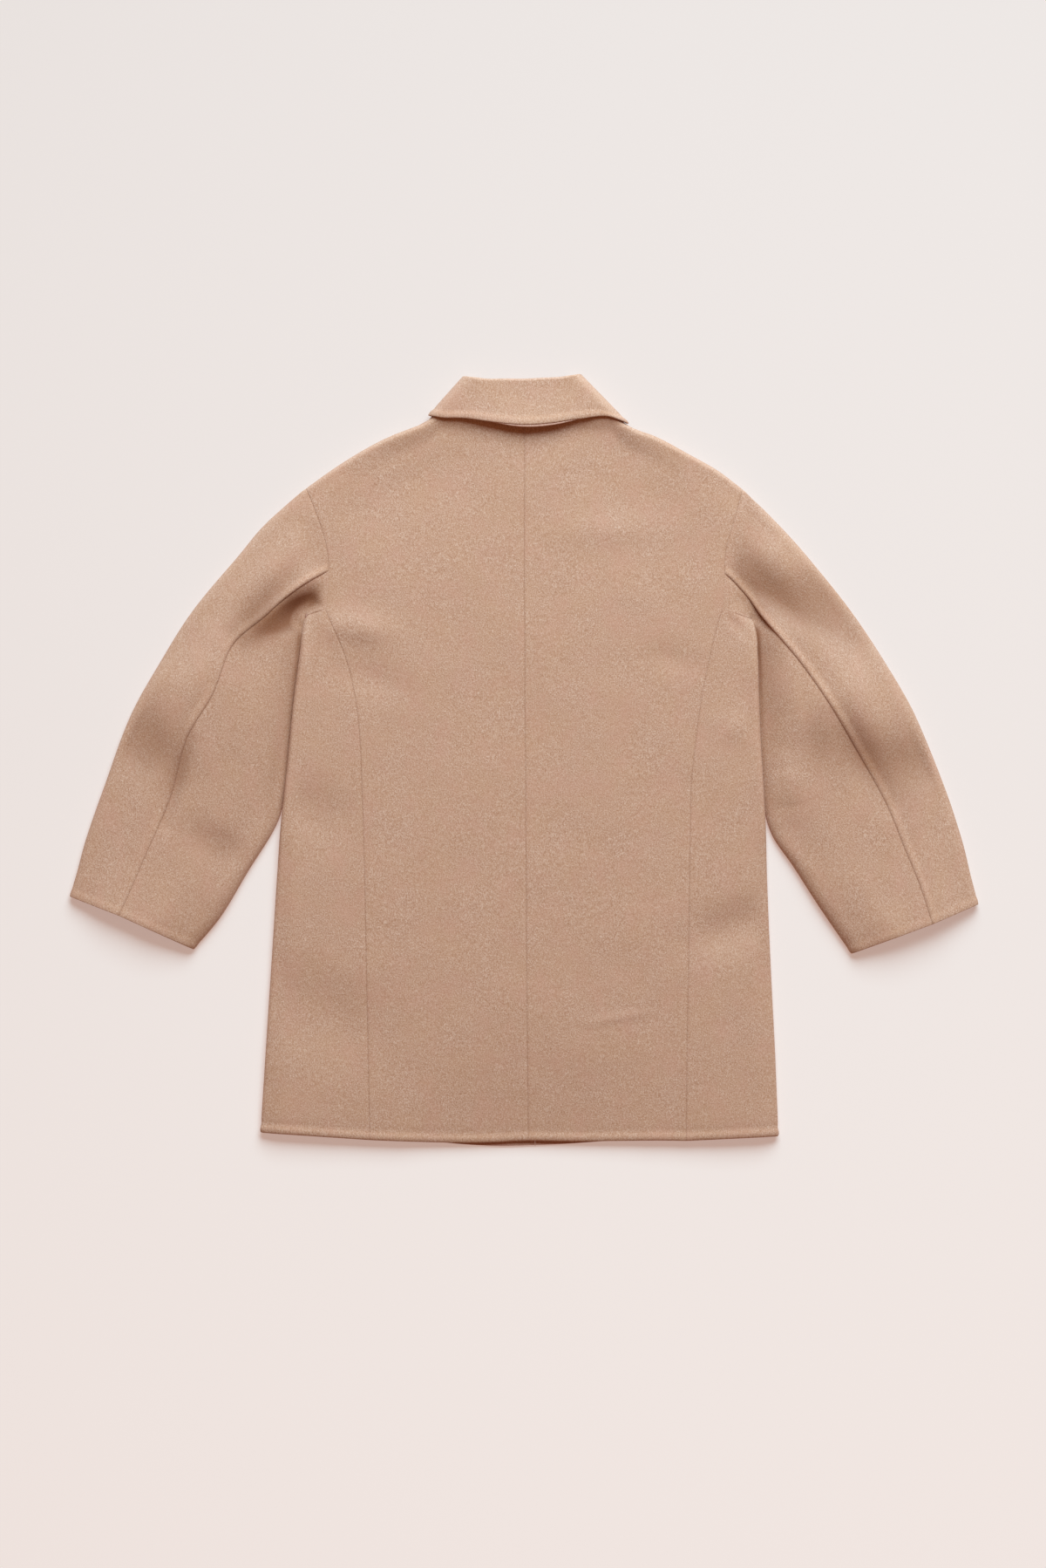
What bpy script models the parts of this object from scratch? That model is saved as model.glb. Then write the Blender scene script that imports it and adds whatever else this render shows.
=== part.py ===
# A wool coat that lies flat on a table with its back up and its sleeves out to both sides.
# +X runs to the right and +Y towards the collar as it lies, +Z is up, and the table is at zero.

import math
from collections import namedtuple

import bmesh
import bpy
import numpy as np

# Sizes are in millimetres; heights above the table are called levels
MM = 0.001

# Cloth and seams
CLOTH = 2.5
SEAM_GAP = 0.3

# The middle of the whole coat, from the middle line and from the hem line
MIDDLE_ACROSS = -0.25
MIDDLE_ALONG = 454.57

# Flattened tube of the body, one row for each section from the hem line up
BodySection = namedtuple(
    "BodySection", "along left_fold left_seam centre right_seam right_fold fold_level under_reach crown"
)
BODY = [
    BodySection(0, -315.0, -184.5, 4.7, 193.0, 303.5, 8.0, 9, 14.5),
    BodySection(113, -308.4, -186.7, 3.6, 194.0, 299.0, 8.0, 9, 14.5),
    BodySection(217, -301.6, -188.8, 2.6, 196.0, 293.8, 8.0, 9, 14.5),
    BodySection(321, -294.8, -190.8, 2.1, 197.1, 289.6, 9.0, 14, 14.8),
    BodySection(379, -290.7, -192.4, 1.6, 198.1, 288.1, 11.0, 26, 15.0),
    BodySection(425, -285.5, -194.0, 1.6, 199.2, 285.5, 11.5, 30, 15.3),
    BodySection(477, -280.3, -196.0, 1.0, 204.4, 282.4, 11.5, 30, 15.5),
    BodySection(529, -275.1, -201.8, 0.5, 211.6, 280.3, 11.5, 30, 15.5),
    BodySection(581, -268.3, -214.8, 0.5, 222.0, 278.7, 11.5, 30, 15.5),
    BodySection(613, -264.7, -228.3, 0.3, 229.8, 275.6, 11.5, 26, 15.5),
    BodySection(640, -260.2, -240.0, 0.0, 237.5, 275.0, 11.5, 20, 15.5),
    BodySection(760, -260.2, -240.0, 0.0, 237.5, 275.0, 11.5, 20, 15.5),
    BodySection(825, -260.2, -240.0, 0.0, 237.5, 275.0, 11.5, 20, 14.8),
    BodySection(850, -260.2, -240.0, 0.0, 237.5, 275.0, 11.5, 20, 14.8),
    BodySection(873, -260.2, -240.0, 0.0, 237.5, 275.0, 11.5, 20, 18.0),
    BodySection(890, -260.2, -240.0, 0.0, 237.5, 275.0, 11.5, 20, 18.0),
]
FOLD_HALF = 5.0
FOLD_REACH = 6.0
CROWN_REACH = 22.0
UNDER_SHARE = 0.85

# Lower edges of the back and the fronts, as across, along
BACK_HEM = [(-315, 10.5), (-282, 8), (-210, 3), (-157, 0.5), (-43, -1.5), (5, 0.5), (50, 0), (154, 1), (258, 1.5),
            (303.5, 6)]
FRONT_HEM = [(-315, 12), (-210, 4.5), (-120, 0.5), (-70, -4.5), (10, -6.0), (50, -4.5), (105, 0.5), (258, 3),
             (303.5, 7.5)]

# Armhole seams from the top of the side seam to the tip of the shoulder, as across, along
ARMHOLE = {
    "left": [(-237.6, 634.4), (-234.5, 654.2), (-233.5, 680.2), (-235.6, 706.2), (-246.0, 742.6), (-260.5, 779.0)],
    "right": [(236.6, 634.4), (238.7, 654.2), (238.7, 677.0), (240.8, 706.2), (251.2, 742.6), (260.5, 777.9)],
}
SLEEVE_SEAM_POINT = 2
UNDERARM = {"left": (-261.6, 627.1), "right": (271.5, 623.0)}

# Shoulder seams from the tip to the neck, as across, along; the neck end comes from the collar
SHOULDER = {
    "left": [(-260.5, 779), (-231.4, 800), (-199.2, 820.6), (-159.6, 841.4), (-132.6, 851.8), (-119.5, 857),
             (-110.5, 863.5)],
    "right": [(260.5, 777.9), (231.4, 800), (195, 820.6), (155.5, 841.4), (127.4, 852), (116.5, 859)],
}
SHOULDER_TIP_LEVEL = 8.0
SHOULDER_UNDER_REACH = 10.0
SHOULDER_REACH = 40.0
NECK_REACH = 24.0
NECK_STEP = 13.0

# Sleeves, one row for each section from the armhole to the cuff: outer fold, back seam, inner fold and levels
SleeveSection = namedtuple(
    "SleeveSection",
    "station outer_x outer_y seam_x seam_y inner_x inner_y crown outer_level inner_level inner_half",
)
SLEEVE = {
    "left": [
        SleeveSection(0.0, -260.5, 779.0, -233.5, 680.2, -261.6, 627.1, 15.5, 8.0, 11.5, 5.0),
        SleeveSection(0.2, -270.9, 770.6, -244.9, 673.9, -265.2, 628.5, 16.0, 8.0, 9.0, 5.0),
        SleeveSection(0.5, -284.4, 759.2, -257.4, 666.6, -266.8, 618.0, 17.0, 8.0, 6.5, 4.6),
        SleeveSection(1.0, -308.4, 737.4, -280.3, 651.0, -266.8, 597.0, 18.5, 8.0, 4.0, 3.6),
        SleeveSection(2.0, -343.7, 695.8, -305.2, 632.3, -268.5, 565.8, 21.0, 8.5, 3.4, 3.2),
        SleeveSection(3.0, -395.7, 633.4, -347.9, 590.7, -272.0, 519.0, 23.0, 9.0, 3.4, 3.2),
        SleeveSection(4.0, -435.2, 571.0, -370.8, 533.5, -276.1, 477.4, 23.5, 9.0, 3.4, 3.2),
        SleeveSection(5.0, -469.6, 508.6, -403.0, 478.4, -283.4, 425.4, 22.5, 9.0, 3.4, 3.2),
        SleeveSection(6.0, -500.8, 425.4, -422.8, 407.7, -295.5, 378.6, 21.0, 8.5, 4.5, 3.8),
        SleeveSection(7.0, -522.6, 363.0, -448.8, 347.4, -330.2, 321.4, 20.0, 8.0, 7.0, 5.0),
        SleeveSection(8.0, -534.0, 321.4, -468.5, 301.6, -361.4, 269.4, 18.5, 8.0, 7.5, 5.0),
        SleeveSection(9.0, -542.9, 292.2, -483.1, 269.4, -394.7, 228.8, 17.0, 8.0, 7.5, 5.0),
    ],
    "right": [
        SleeveSection(0.0, 260.5, 777.9, 238.7, 677.0, 271.5, 623.0, 15.5, 8.0, 11.5, 5.0),
        SleeveSection(0.2, 269.9, 768.6, 248.0, 668.7, 275.4, 625.5, 16.0, 8.0, 9.0, 5.0),
        SleeveSection(0.5, 283.4, 756.1, 263.6, 652.1, 279.2, 614.0, 17.0, 8.0, 6.5, 4.6),
        SleeveSection(1.0, 302.1, 737.4, 283.4, 625.0, 278.6, 591.0, 18.5, 8.0, 4.0, 3.6),
        SleeveSection(2.0, 339.6, 695.8, 300.6, 604.8, 277.8, 555.4, 21.0, 8.5, 3.4, 3.2),
        SleeveSection(3.0, 389.5, 633.4, 331.8, 566.8, 277.9, 508.6, 23.0, 9.0, 3.4, 3.2),
        SleeveSection(4.0, 431.1, 571.0, 363.5, 521.0, 280.3, 461.8, 23.5, 9.0, 3.4, 3.2),
        SleeveSection(5.0, 466.4, 508.6, 393.6, 471.1, 283.4, 415.0, 22.5, 9.0, 3.4, 3.2),
        SleeveSection(6.0, 500.8, 425.4, 430.0, 406.0, 294.5, 368.2, 21.0, 8.5, 4.5, 3.8),
        SleeveSection(7.0, 521.6, 363.0, 452.9, 350.5, 321.9, 326.6, 20.0, 8.0, 7.0, 5.0),
        SleeveSection(8.0, 533.0, 317.2, 471.6, 304.7, 352.0, 279.8, 18.5, 8.0, 7.5, 5.0),
        SleeveSection(9.0, 542.4, 282.9, 486.2, 259.0, 390.5, 223.6, 17.0, 8.0, 7.5, 5.0),
    ],
}
SLEEVE_STEPS = [0.2, 0.5, 1, 1.5, 2, 2.5, 3, 3.5, 4, 4.5, 5, 5.5, 6, 6.5, 7, 7.5, 8, 8.5, 9]
SLEEVE_EASE_IN = 0.8
ARMHOLE_BOW_END = 0.5
OUTER_CROWN_REACH = 60.0
INNER_CROWN_REACH = 78.0

# Collar from one front end to the other: roll line, outer edge, turn in degrees, stand depth and edge lift
CollarSection = namedtuple("CollarSection", "roll_x roll_y edge_x edge_y turn_from turn_to stand lift")
COLLAR = [
    CollarSection(-12, 812, -52, 752, 180, 180, 14, 0),
    CollarSection(-34, 842, -84, 792, 180, 180, 24, 0),
    CollarSection(-54, 878, -102, 830, 180, 180, 38, 0),
    CollarSection(-67, 906.7, -107, 859, 180, 0, 50, 0),
    CollarSection(-45, 909.3, -72, 862.0, 0, 0, 42, 2),
    CollarSection(-22, 909.5, -38, 857.5, 0, 0, 39, 4.5),
    CollarSection(0, 909.3, 0, 854.3, 0, 0, 38, 6),
    CollarSection(22, 910.5, 33, 856.5, 0, 0, 39.5, 5),
    CollarSection(42, 911.5, 68, 861.5, 0, 0, 44, 2.5),
    CollarSection(60.5, 909, 113, 855, 0, 180, 58, 0),
    CollarSection(50, 878, 102, 828, 180, 180, 40, 0),
    CollarSection(34, 842, 84, 792, 180, 180, 24, 0),
    CollarSection(12, 812, 52, 752, 180, 180, 14, 0),
]
COLLAR_LEVEL = 11.0
COLLAR_OUTSIDE = 11.0
COLLAR_INSIDE = 4.5
COLLAR_CORNER_EASE = 6.0
NECK_SEAM_GAP = 0.6
TURN_STEP = 30
CENTRE_FRONT = [(13.0, -6.0), (4.0, 400.0), (0.0, 797.0)]
FRONT_GAP = 1.0
FRONT_LIFT_ALONG = (690.0, 740.0)
FRONT_LIFT_ACROSS = (170.0, 130.0)

# Large folds of the upper layer: a line from one end to the other, its half width and how far it rises
Fold = namedtuple("Fold", "from_x from_y to_x to_y half_width rise")
FOLDS = [
    Fold(-239, 662, -324, 607, 17, -5.0),
    Fold(-245, 681, -324, 626, 9, 2.5),
    Fold(-454, 517, -418, 436, 22, -4.5),
    Fold(-405, 477, -426, 389, 10, -3.0),
    Fold(-376, 368, -353, 347, 16, -2.0),
    Fold(-371, 581, -412, 529, 22, 2.0),
    Fold(253, 691, 352, 631, 22, -4.5),
    Fold(256, 667, 316, 594, 9, 2.5),
    Fold(378, 503, 427, 420, 15, -4.0),
    Fold(435, 441, 468, 379, 20, -2.5),
    Fold(331, 503, 368, 425, 22, -3.0),
    Fold(310, 446, 316, 399, 18, 2.5),
    Fold(-225, 597, -152, 566, 18, -1.5),
    Fold(-225, 644, -168, 628, 18, 1.5),
    Fold(-267, 420, -236, 379, 18, -1.5),
    Fold(-277, 207, -230, 155, 24, -2.0),
    Fold(217, 243, 274, 290, 20, -2.0),
    Fold(165, 597, 212, 576, 14, -1.2),
    Fold(243, 571, 253, 509, 16, 1.5),
    Fold(-199, 810, -126, 836, 16, -1.2),
    Fold(92, 836, 165, 805, 16, -1.2),
]
FOLD_CLEAR = 30.0

# How many steps the grids take
BODY_ROWS = 18
SIDE_TOP_FLATS = 4
ARC_STEPS = 3
UNDER_FLATS = 2
ARMHOLE_LOW_STEPS = 3
ARMHOLE_HIGH_STEPS = 6
SHOULDER_STEPS = 6
STAND_STEPS = 3
ROLL_STEPS = 6
FALL_STEPS = 5

# Colour of the cloth, linear red, green and blue
WOOL = (0.53, 0.34, 0.24)
WOOL_ROUGHNESS = 0.95

# Points along a smoothed curve, and steps in a millimetre when points are compared
DENSE = 400
PLACES = 20


# A smooth curve through the values of a table
def smooth(stations, values, at):
    stations = np.asarray(stations, float)
    values = np.asarray(values, float)
    at = np.asarray(at, float)
    slopes = np.gradient(values, stations)
    low = np.clip(np.searchsorted(stations, at, side="right") - 1, 0, len(stations) - 2)
    step = stations[low + 1] - stations[low]
    part = np.clip((at - stations[low]) / step, 0, 1)
    start = (1 + 2 * part) * (1 - part) ** 2 * values[low] + part * (1 - part) ** 2 * step * slopes[low]
    end = part**2 * (3 - 2 * part) * values[low + 1] + part**2 * (part - 1) * step * slopes[low + 1]
    return start + end


def column(rows, name, key, at):
    return smooth([getattr(row, key) for row in rows], [getattr(row, name) for row in rows], at)


def lengths(points):
    steps = np.linalg.norm(np.diff(points, axis=0), axis=1)
    return np.concatenate([[0.0], np.cumsum(steps)])


def curve(points):
    points = np.asarray(points, float)
    along = lengths(points)
    at = np.linspace(0, along[-1], DENSE)
    return np.stack([smooth(along, points[:, axis], at) for axis in range(points.shape[1])], axis=-1)


def at_lengths(line, wanted):
    along = lengths(line)
    return np.stack([np.interp(wanted, along, line[:, axis]) for axis in range(line.shape[1])], axis=-1)


def at_fractions(line, fractions):
    return at_lengths(line, np.asarray(fractions) * lengths(line)[-1])


def length_at(line, point):
    nearest = np.argmin(np.linalg.norm(line - np.asarray(point), axis=1))
    return lengths(line)[nearest]


# Soft step from zero to one, and the quarter round of a fold
def ease(value):
    value = np.clip(value, 0, 1)
    return value * value * (3 - 2 * value)


def rise(distance, reach):
    return np.sqrt(np.clip(1 - (1 - np.clip(distance / reach, 0, 1)) ** 2, 0, 1))


def arc(reach):
    turns = np.linspace(0, math.pi / 2, ARC_STEPS + 1)
    return reach * (1 - np.cos(turns))


# Rise of the large folds at a place
def folds(across, along):
    total = np.zeros(np.shape(across))
    for fold in FOLDS:
        line = np.array([fold.to_x - fold.from_x, fold.to_y - fold.from_y])
        size = line @ line
        part = ((across - fold.from_x) * line[0] + (along - fold.from_y) * line[1]) / size
        part = np.clip(part, 0, 1)
        away = np.hypot(across - fold.from_x - part * line[0], along - fold.from_y - part * line[1])
        total = total + fold.rise * np.exp(-((away / fold.half_width) ** 2))
    return total


def body_top(across, along):
    return column(BODY, "crown", "along", along) + folds(across, along)


def hem_point(points, across):
    xs = [point[0] for point in points]
    ys = [point[1] for point in points]
    return np.stack([across, smooth(xs, ys, across)], axis=-1)


# Collar sections in space, each a line from the roll to the edge and the way its cloth faces
def collar_frames():
    frames = []
    for row in COLLAR:
        roll = np.array([row.roll_x, row.roll_y, COLLAR_LEVEL])
        edge = np.array([row.edge_x, row.edge_y, COLLAR_LEVEL])
        depth = np.linalg.norm(edge - roll)
        down = (edge - roll) / depth
        outward = np.array([-down[1], down[0], 0.0])
        outward = outward if outward[0] * row.roll_x > 0 else -outward
        count = abs(row.turn_to - row.turn_from) // TURN_STEP
        corner_ease = COLLAR_CORNER_EASE if count else 0
        for turn in np.linspace(row.turn_from, row.turn_to, count + 1):
            angle = math.radians(turn)
            facing = outward * math.sin(angle) + np.array([0, 0, math.cos(angle)])
            raised = roll - down * corner_ease * (1 - math.sin(angle))
            frames.append((raised, down, facing, depth, row))
    return frames


# Collar from the neck seam up the stand, over the roll and down the fall
def collar_grid(frames):
    radius = (COLLAR_OUTSIDE - COLLAR_INSIDE) / 2
    middle = (COLLAR_OUTSIDE + COLLAR_INSIDE) / 2
    grid = []
    for roll, down, facing, depth, row in frames:
        line = []
        for away in np.linspace(row.stand - NECK_SEAM_GAP, radius, STAND_STEPS + 1):
            line.append((away, COLLAR_INSIDE))
        for turn in np.linspace(-math.pi / 2, math.pi / 2, ROLL_STEPS + 1)[1:]:
            line.append((radius - radius * math.cos(turn), middle + radius * math.sin(turn)))
        for part in np.linspace(0, 1, FALL_STEPS + 1)[1:]:
            line.append((radius + (depth - radius) * part, COLLAR_OUTSIDE + row.lift * part**2))
        grid.append([roll + down * away + facing * out for away, out in line])
    return np.array(grid)


# Neck seam where the stand meets the body
def neck_points(frames):
    out = COLLAR_INSIDE + CLOTH
    return np.array([roll + down * row.stand + facing * out for roll, down, facing, _, row in frames])


# Grid of plan points between four edges that share their corners
def filled(low, high, first, last, up):
    across = np.linspace(0, 1, len(low))[None, :, None]
    up = np.asarray(up)[:, None, None]
    between = (1 - across) * first[:, None] + across * last[:, None]
    between = between + (1 - up) * low[None] + up * high[None]
    corners = (1 - up) * ((1 - across) * low[0] + across * low[-1])
    return between - corners - up * ((1 - across) * high[0] + across * high[-1])


# Side-back seam and side fold from the hem to the armhole
def body_side(side):
    fold_name = side + "_fold"
    seam_name = side + "_seam"
    top_of_seam = np.array(ARMHOLE[side][0])
    underarm = np.array(UNDERARM[side])

    def run(name, end):
        alongs = [row.along for row in BODY if row.along < end[1] - FOLD_REACH]
        xs = column(BODY, name, "along", alongs)
        start = hem_point(BACK_HEM, np.array(xs[0]))
        return curve([start] + list(zip(xs[1:], alongs[1:])) + [end])

    rows = np.linspace(0, 1, BODY_ROWS + 1)
    seam = at_fractions(run(seam_name, top_of_seam), rows)
    fold = at_fractions(run(fold_name, underarm), rows)
    return seam, fold


# Side panel from the seam on top, round the fold, to the seam beneath
def side_grid(side):
    seam, fold = body_side(side)
    grid = []
    for on_seam, on_fold in zip(seam, fold):
        width = np.linalg.norm(on_seam - on_fold)
        level = column(BODY, "fold_level", "along", on_fold[1])
        under = min(column(BODY, "under_reach", "along", on_fold[1]), UNDER_SHARE * width)
        top = np.concatenate([np.linspace(width, FOLD_REACH, SIDE_TOP_FLATS + 1), arc(FOLD_REACH)[-2::-1]])
        low = np.concatenate([arc(under)[1:], np.linspace(under, width, UNDER_FLATS + 1)[1:]])
        line = []
        for away in top:
            point = on_fold + (on_seam - on_fold) * away / width
            edge = level + FOLD_HALF * rise(away, FOLD_REACH)
            height = edge + (body_top(point[0], point[1]) - edge) * ease(away / CROWN_REACH)
            line.append((point[0], point[1], height))
        for away in low:
            point = on_fold + (on_seam - on_fold) * away / width
            line.append((point[0], point[1], level * (1 - rise(away, under))))
        grid.append(line)
    return np.array(grid)


# Steps along an armhole, closer together where the cloth turns at the shoulder
def armhole_lengths(side, low_steps, high_steps, reach):
    line = curve(ARMHOLE[side])
    total = lengths(line)[-1]
    middle = length_at(line, ARMHOLE[side][SLEEVE_SEAM_POINT])
    low = np.linspace(0, middle, low_steps + 1)
    high = np.linspace(middle, total - reach, high_steps + 1)[1:]
    tip = total - arc(reach)[-2::-1]
    return line, np.concatenate([low, high, tip])


# Shoulder seam and neck seam in one line, with the level, the height of the fold and how far its slope reaches
def top_edge(side, neck, over):
    shoulder = curve(SHOULDER[side] + [tuple(neck[0][:2])])
    total = lengths(shoulder)[-1]
    steps = np.append(np.linspace(0, total - NECK_STEP, SHOULDER_STEPS), total)
    plan = np.concatenate([at_lengths(shoulder, steps), neck[1:, :2]])
    level = SHOULDER_TIP_LEVEL + (neck[0][2] - SHOULDER_TIP_LEVEL) * steps / total
    level = np.concatenate([level, neck[1:, 2]])
    to_neck = np.minimum(np.arange(len(level)) / SHOULDER_STEPS, 1)
    neck_half = np.abs(COLLAR_LEVEL + over * (COLLAR_INSIDE + CLOTH) - level)
    half = FOLD_HALF + (neck_half - FOLD_HALF) * to_neck
    reach = SHOULDER_REACH + (NECK_REACH - SHOULDER_REACH) * to_neck
    return plan, level, half, reach


# Upper layer of the body between a side-back seam with its armhole and the centre-back seam
def back_grid(side, neck):
    seam, _ = body_side(side)
    arm_line, arm_lengths = armhole_lengths(side, ARMHOLE_LOW_STEPS, ARMHOLE_HIGH_STEPS, FOLD_REACH)
    outer = np.concatenate([seam, at_lengths(arm_line, arm_lengths)[1:]])
    high, level, half, reach = top_edge(side, neck, 1)
    alongs = [row.along for row in BODY if row.along < SHOULDER[side][0][1]]
    xs = column(BODY, "centre", "along", alongs)
    start = hem_point(BACK_HEM, np.array(xs[0]))
    centre = curve([start] + list(zip(xs[1:], alongs[1:])) + [high[-1]])
    up = lengths(outer) / lengths(outer)[-1]
    inner = at_fractions(centre, up)
    low = hem_point(BACK_HEM, np.linspace(outer[0][0], inner[0][0], len(high)))
    low[0], low[-1] = outer[0], inner[0]
    plan = filled(low, high, outer, inner, up)
    across = np.linspace(0, 1, len(high))[None, :]
    run = lengths(outer)[-1] * (1 - across) + lengths(centre)[-1] * across
    away = (1 - up)[:, None] * run
    edge = level[None] + half[None] * rise(away, FOLD_REACH)
    height = edge + (body_top(plan[..., 0], plan[..., 1]) - edge) * ease(away / reach[None])
    return np.concatenate([plan, height[..., None]], axis=-1)


# How far the collar's front ends lift the fronts
def front_lift(across, along):
    start, end = FRONT_LIFT_ALONG
    wide, full = FRONT_LIFT_ACROSS
    lift = COLLAR_LEVEL - COLLAR_INSIDE - CLOTH
    return lift * ease((along - start) / (end - start)) * ease((wide - np.abs(across)) / (wide - full))


# Lower layer of the body, flat on the table but for its shoulder and what lies under its neck
def front_grid(side, neck):
    sign = -1 if side == "left" else 1
    seam, _ = body_side(side)
    arm_line, arm_lengths = armhole_lengths(side, 1, UNDER_FLATS, SHOULDER_UNDER_REACH)
    outer = np.concatenate([seam, at_lengths(arm_line, arm_lengths)[1:]])
    outer[0] = hem_point(FRONT_HEM, outer[0][:1])[0]
    shift = np.array([sign * FRONT_GAP / 2, 0])
    centre = curve(np.array(CENTRE_FRONT) + shift)
    corner = np.array([centre[-1][0], centre[-1][1], neck[-1][2]])
    high, level, _, _ = top_edge(side, np.concatenate([neck, [corner]]), -1)
    up = lengths(outer) / lengths(outer)[-1]
    inner = at_fractions(centre, up)
    low = hem_point(FRONT_HEM, np.linspace(outer[0][0], inner[0][0], len(high)))
    low[0], low[-1] = outer[0], inner[0]
    plan = filled(low, high, outer, inner, up)
    across = np.linspace(0, 1, len(high))[None, :]
    run = lengths(outer)[-1] * (1 - across) + lengths(centre)[-1] * across
    away = (1 - up)[:, None] * run
    base = front_lift(plan[..., 0], plan[..., 1])
    height = base + (level[None] - base) * (1 - rise(away, SHOULDER_UNDER_REACH))
    return np.concatenate([plan, height[..., None]], axis=-1)


# One half of a sleeve between its back seam and one fold, then round to the seam beneath
def sleeve_grid(side, part, start_top, start_low):
    rows = SLEEVE[side]
    other = {"outer": "inner", "inner": "outer"}[part]
    flats = len(start_top) - 1 - ARC_STEPS
    low_flats = len(start_low) - ARC_STEPS
    grid = [np.concatenate([start_top, start_low])]
    start = np.concatenate([start_top, start_low])
    start_seam, start_fold = start_top[0][:2], start_top[-1][:2]
    start_away = np.concatenate(
        [lengths(start_top[::-1, :2])[::-1], lengths(np.concatenate([start_top[-1:, :2], start_low[:, :2]]))[1:]]
    )
    start_part = start_away / start_away[0]

    def at(name, station):
        return float(column(rows, name, "station", station))

    for station in SLEEVE_STEPS:
        seam = np.array([at("seam_x", station), at("seam_y", station)])
        fold = np.array([at(part + "_x", station), at(part + "_y", station)])
        far = np.array([at(other + "_x", station), at(other + "_y", station)])
        width = np.linalg.norm(fold - seam)
        beyond = np.linalg.norm(far - seam)
        halves = {"outer": FOLD_HALF, "inner": at("inner_half", station)}
        levels = {"outer": at("outer_level", station), "inner": at("inner_level", station)}
        reach = halves[part] * FOLD_REACH / FOLD_HALF
        under = levels[part] * SHOULDER_UNDER_REACH / SHOULDER_TIP_LEVEL
        top = np.concatenate([np.linspace(width, reach, flats + 1), arc(reach)[-2::-1]])
        low = np.concatenate([arc(under)[1:], np.linspace(under, width, low_flats + 1)[1:]])
        settle = ease(station / SLEEVE_EASE_IN)
        bow = max(0.0, 1 - station / ARMHOLE_BOW_END) ** 2
        line = []
        for index, away in enumerate(np.concatenate([top, low])):
            away = away * settle + start_part[index] * width * (1 - settle)
            point = fold + (seam - fold) * away / width
            straight = start_fold + (start_seam - start_fold) * start_part[index]
            point = point + bow * (start[index][:2] - straight)
            if index < len(top):
                to_far = beyond + width - away
                near_edge = levels[part] + halves[part] * rise(away, reach)
                far_edge = levels[other] + halves[other]
                edge = near_edge + (far_edge - near_edge) * away / (width + beyond)
                reaches = {"outer": OUTER_CROWN_REACH, "inner": INNER_CROWN_REACH}
                swell = ease(away / reaches[part]) * ease(to_far / reaches[other])
                height = edge + (at("crown", station) - edge) * swell
                height = height + folds(point[0], point[1]) * ease(away / FOLD_CLEAR)
            else:
                height = levels[part] * (1 - rise(away, under))
            height = height * settle + start[index][2] * (1 - settle)
            line.append((point[0], point[1], height))
        grid.append(line)
    return np.array([np.array(line) for line in grid])


# Sums of the face normals round each point, shared where pieces meet
def face_normals(grid, facing):
    normals = np.cross(grid[1:, 1:] - grid[:-1, :-1], grid[1:, :-1] - grid[:-1, 1:])
    row, col, sign = facing
    return normals if normals[row, col, 2] * sign > 0 else -normals


def point_key(point):
    return tuple(np.round(point * PLACES).astype(int))


def gathered(grids, facings):
    sums = {}
    for name, grid in grids.items():
        normals = face_normals(grid, facings[name])
        for row in range(normals.shape[0]):
            for col in range(normals.shape[1]):
                for corner in ((row, col), (row + 1, col), (row, col + 1), (row + 1, col + 1)):
                    key = point_key(grid[corner])
                    sums[key] = sums.get(key, 0) + normals[row, col]
    return sums


# The sheet drawn in at its edges by half a seam gap
def trimmed(grid):
    grid = grid.copy()
    for axis in (0, 1):
        lined = np.moveaxis(grid, axis, 0)
        for edge, inside in ((0, 1), (-1, -2)):
            way = lined[inside] - lined[edge]
            lined[edge] += way / np.linalg.norm(way, axis=-1, keepdims=True) * SEAM_GAP / 2
    return grid


def wool(name):
    material = bpy.data.materials.new(name + "_wool")
    material.use_nodes = True
    shader = material.node_tree.nodes["Principled BSDF"]
    shader.inputs["Base Color"].default_value = (*WOOL, 1)
    shader.inputs["Roughness"].default_value = WOOL_ROUGHNESS
    shader.inputs["Metallic"].default_value = 0
    return material


# A sheet of cloth on its outer points, given its thickness along the normals
def cloth(name, grid, sums, parent):
    normals = np.array([[sums[point_key(point)] for point in line] for line in grid])
    normals = normals / np.linalg.norm(normals, axis=-1, keepdims=True)
    outside = trimmed(grid)
    inside = trimmed(grid - normals * CLOTH)
    rows, cols = grid.shape[:2]
    shape = bmesh.new()
    flat = bmesh.ops.create_grid(shape, x_segments=cols - 1, y_segments=rows - 1, size=1)["verts"]
    made = bmesh.ops.extrude_face_region(shape, geom=list(shape.faces), use_keep_orig=True)
    copied = [item for item in made["geom"] if isinstance(item, bmesh.types.BMVert)]
    for verts, points in ((flat, outside), (copied, inside)):
        for vert in verts:
            row = round((vert.co.y + 1) / 2 * (rows - 1))
            col = round((vert.co.x + 1) / 2 * (cols - 1))
            vert.co = points[row, col] * MM
    bmesh.ops.recalc_face_normals(shape, faces=list(shape.faces))
    if shape.calc_volume(signed=True) < 0:
        bmesh.ops.reverse_faces(shape, faces=list(shape.faces))
    mesh = bpy.data.meshes.new(name)
    shape.to_mesh(mesh)
    shape.free()
    mesh.materials.append(wool(name))
    piece = bpy.data.objects.new(name, mesh)
    piece.parent = parent
    bpy.context.scene.collection.objects.link(piece)


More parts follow.
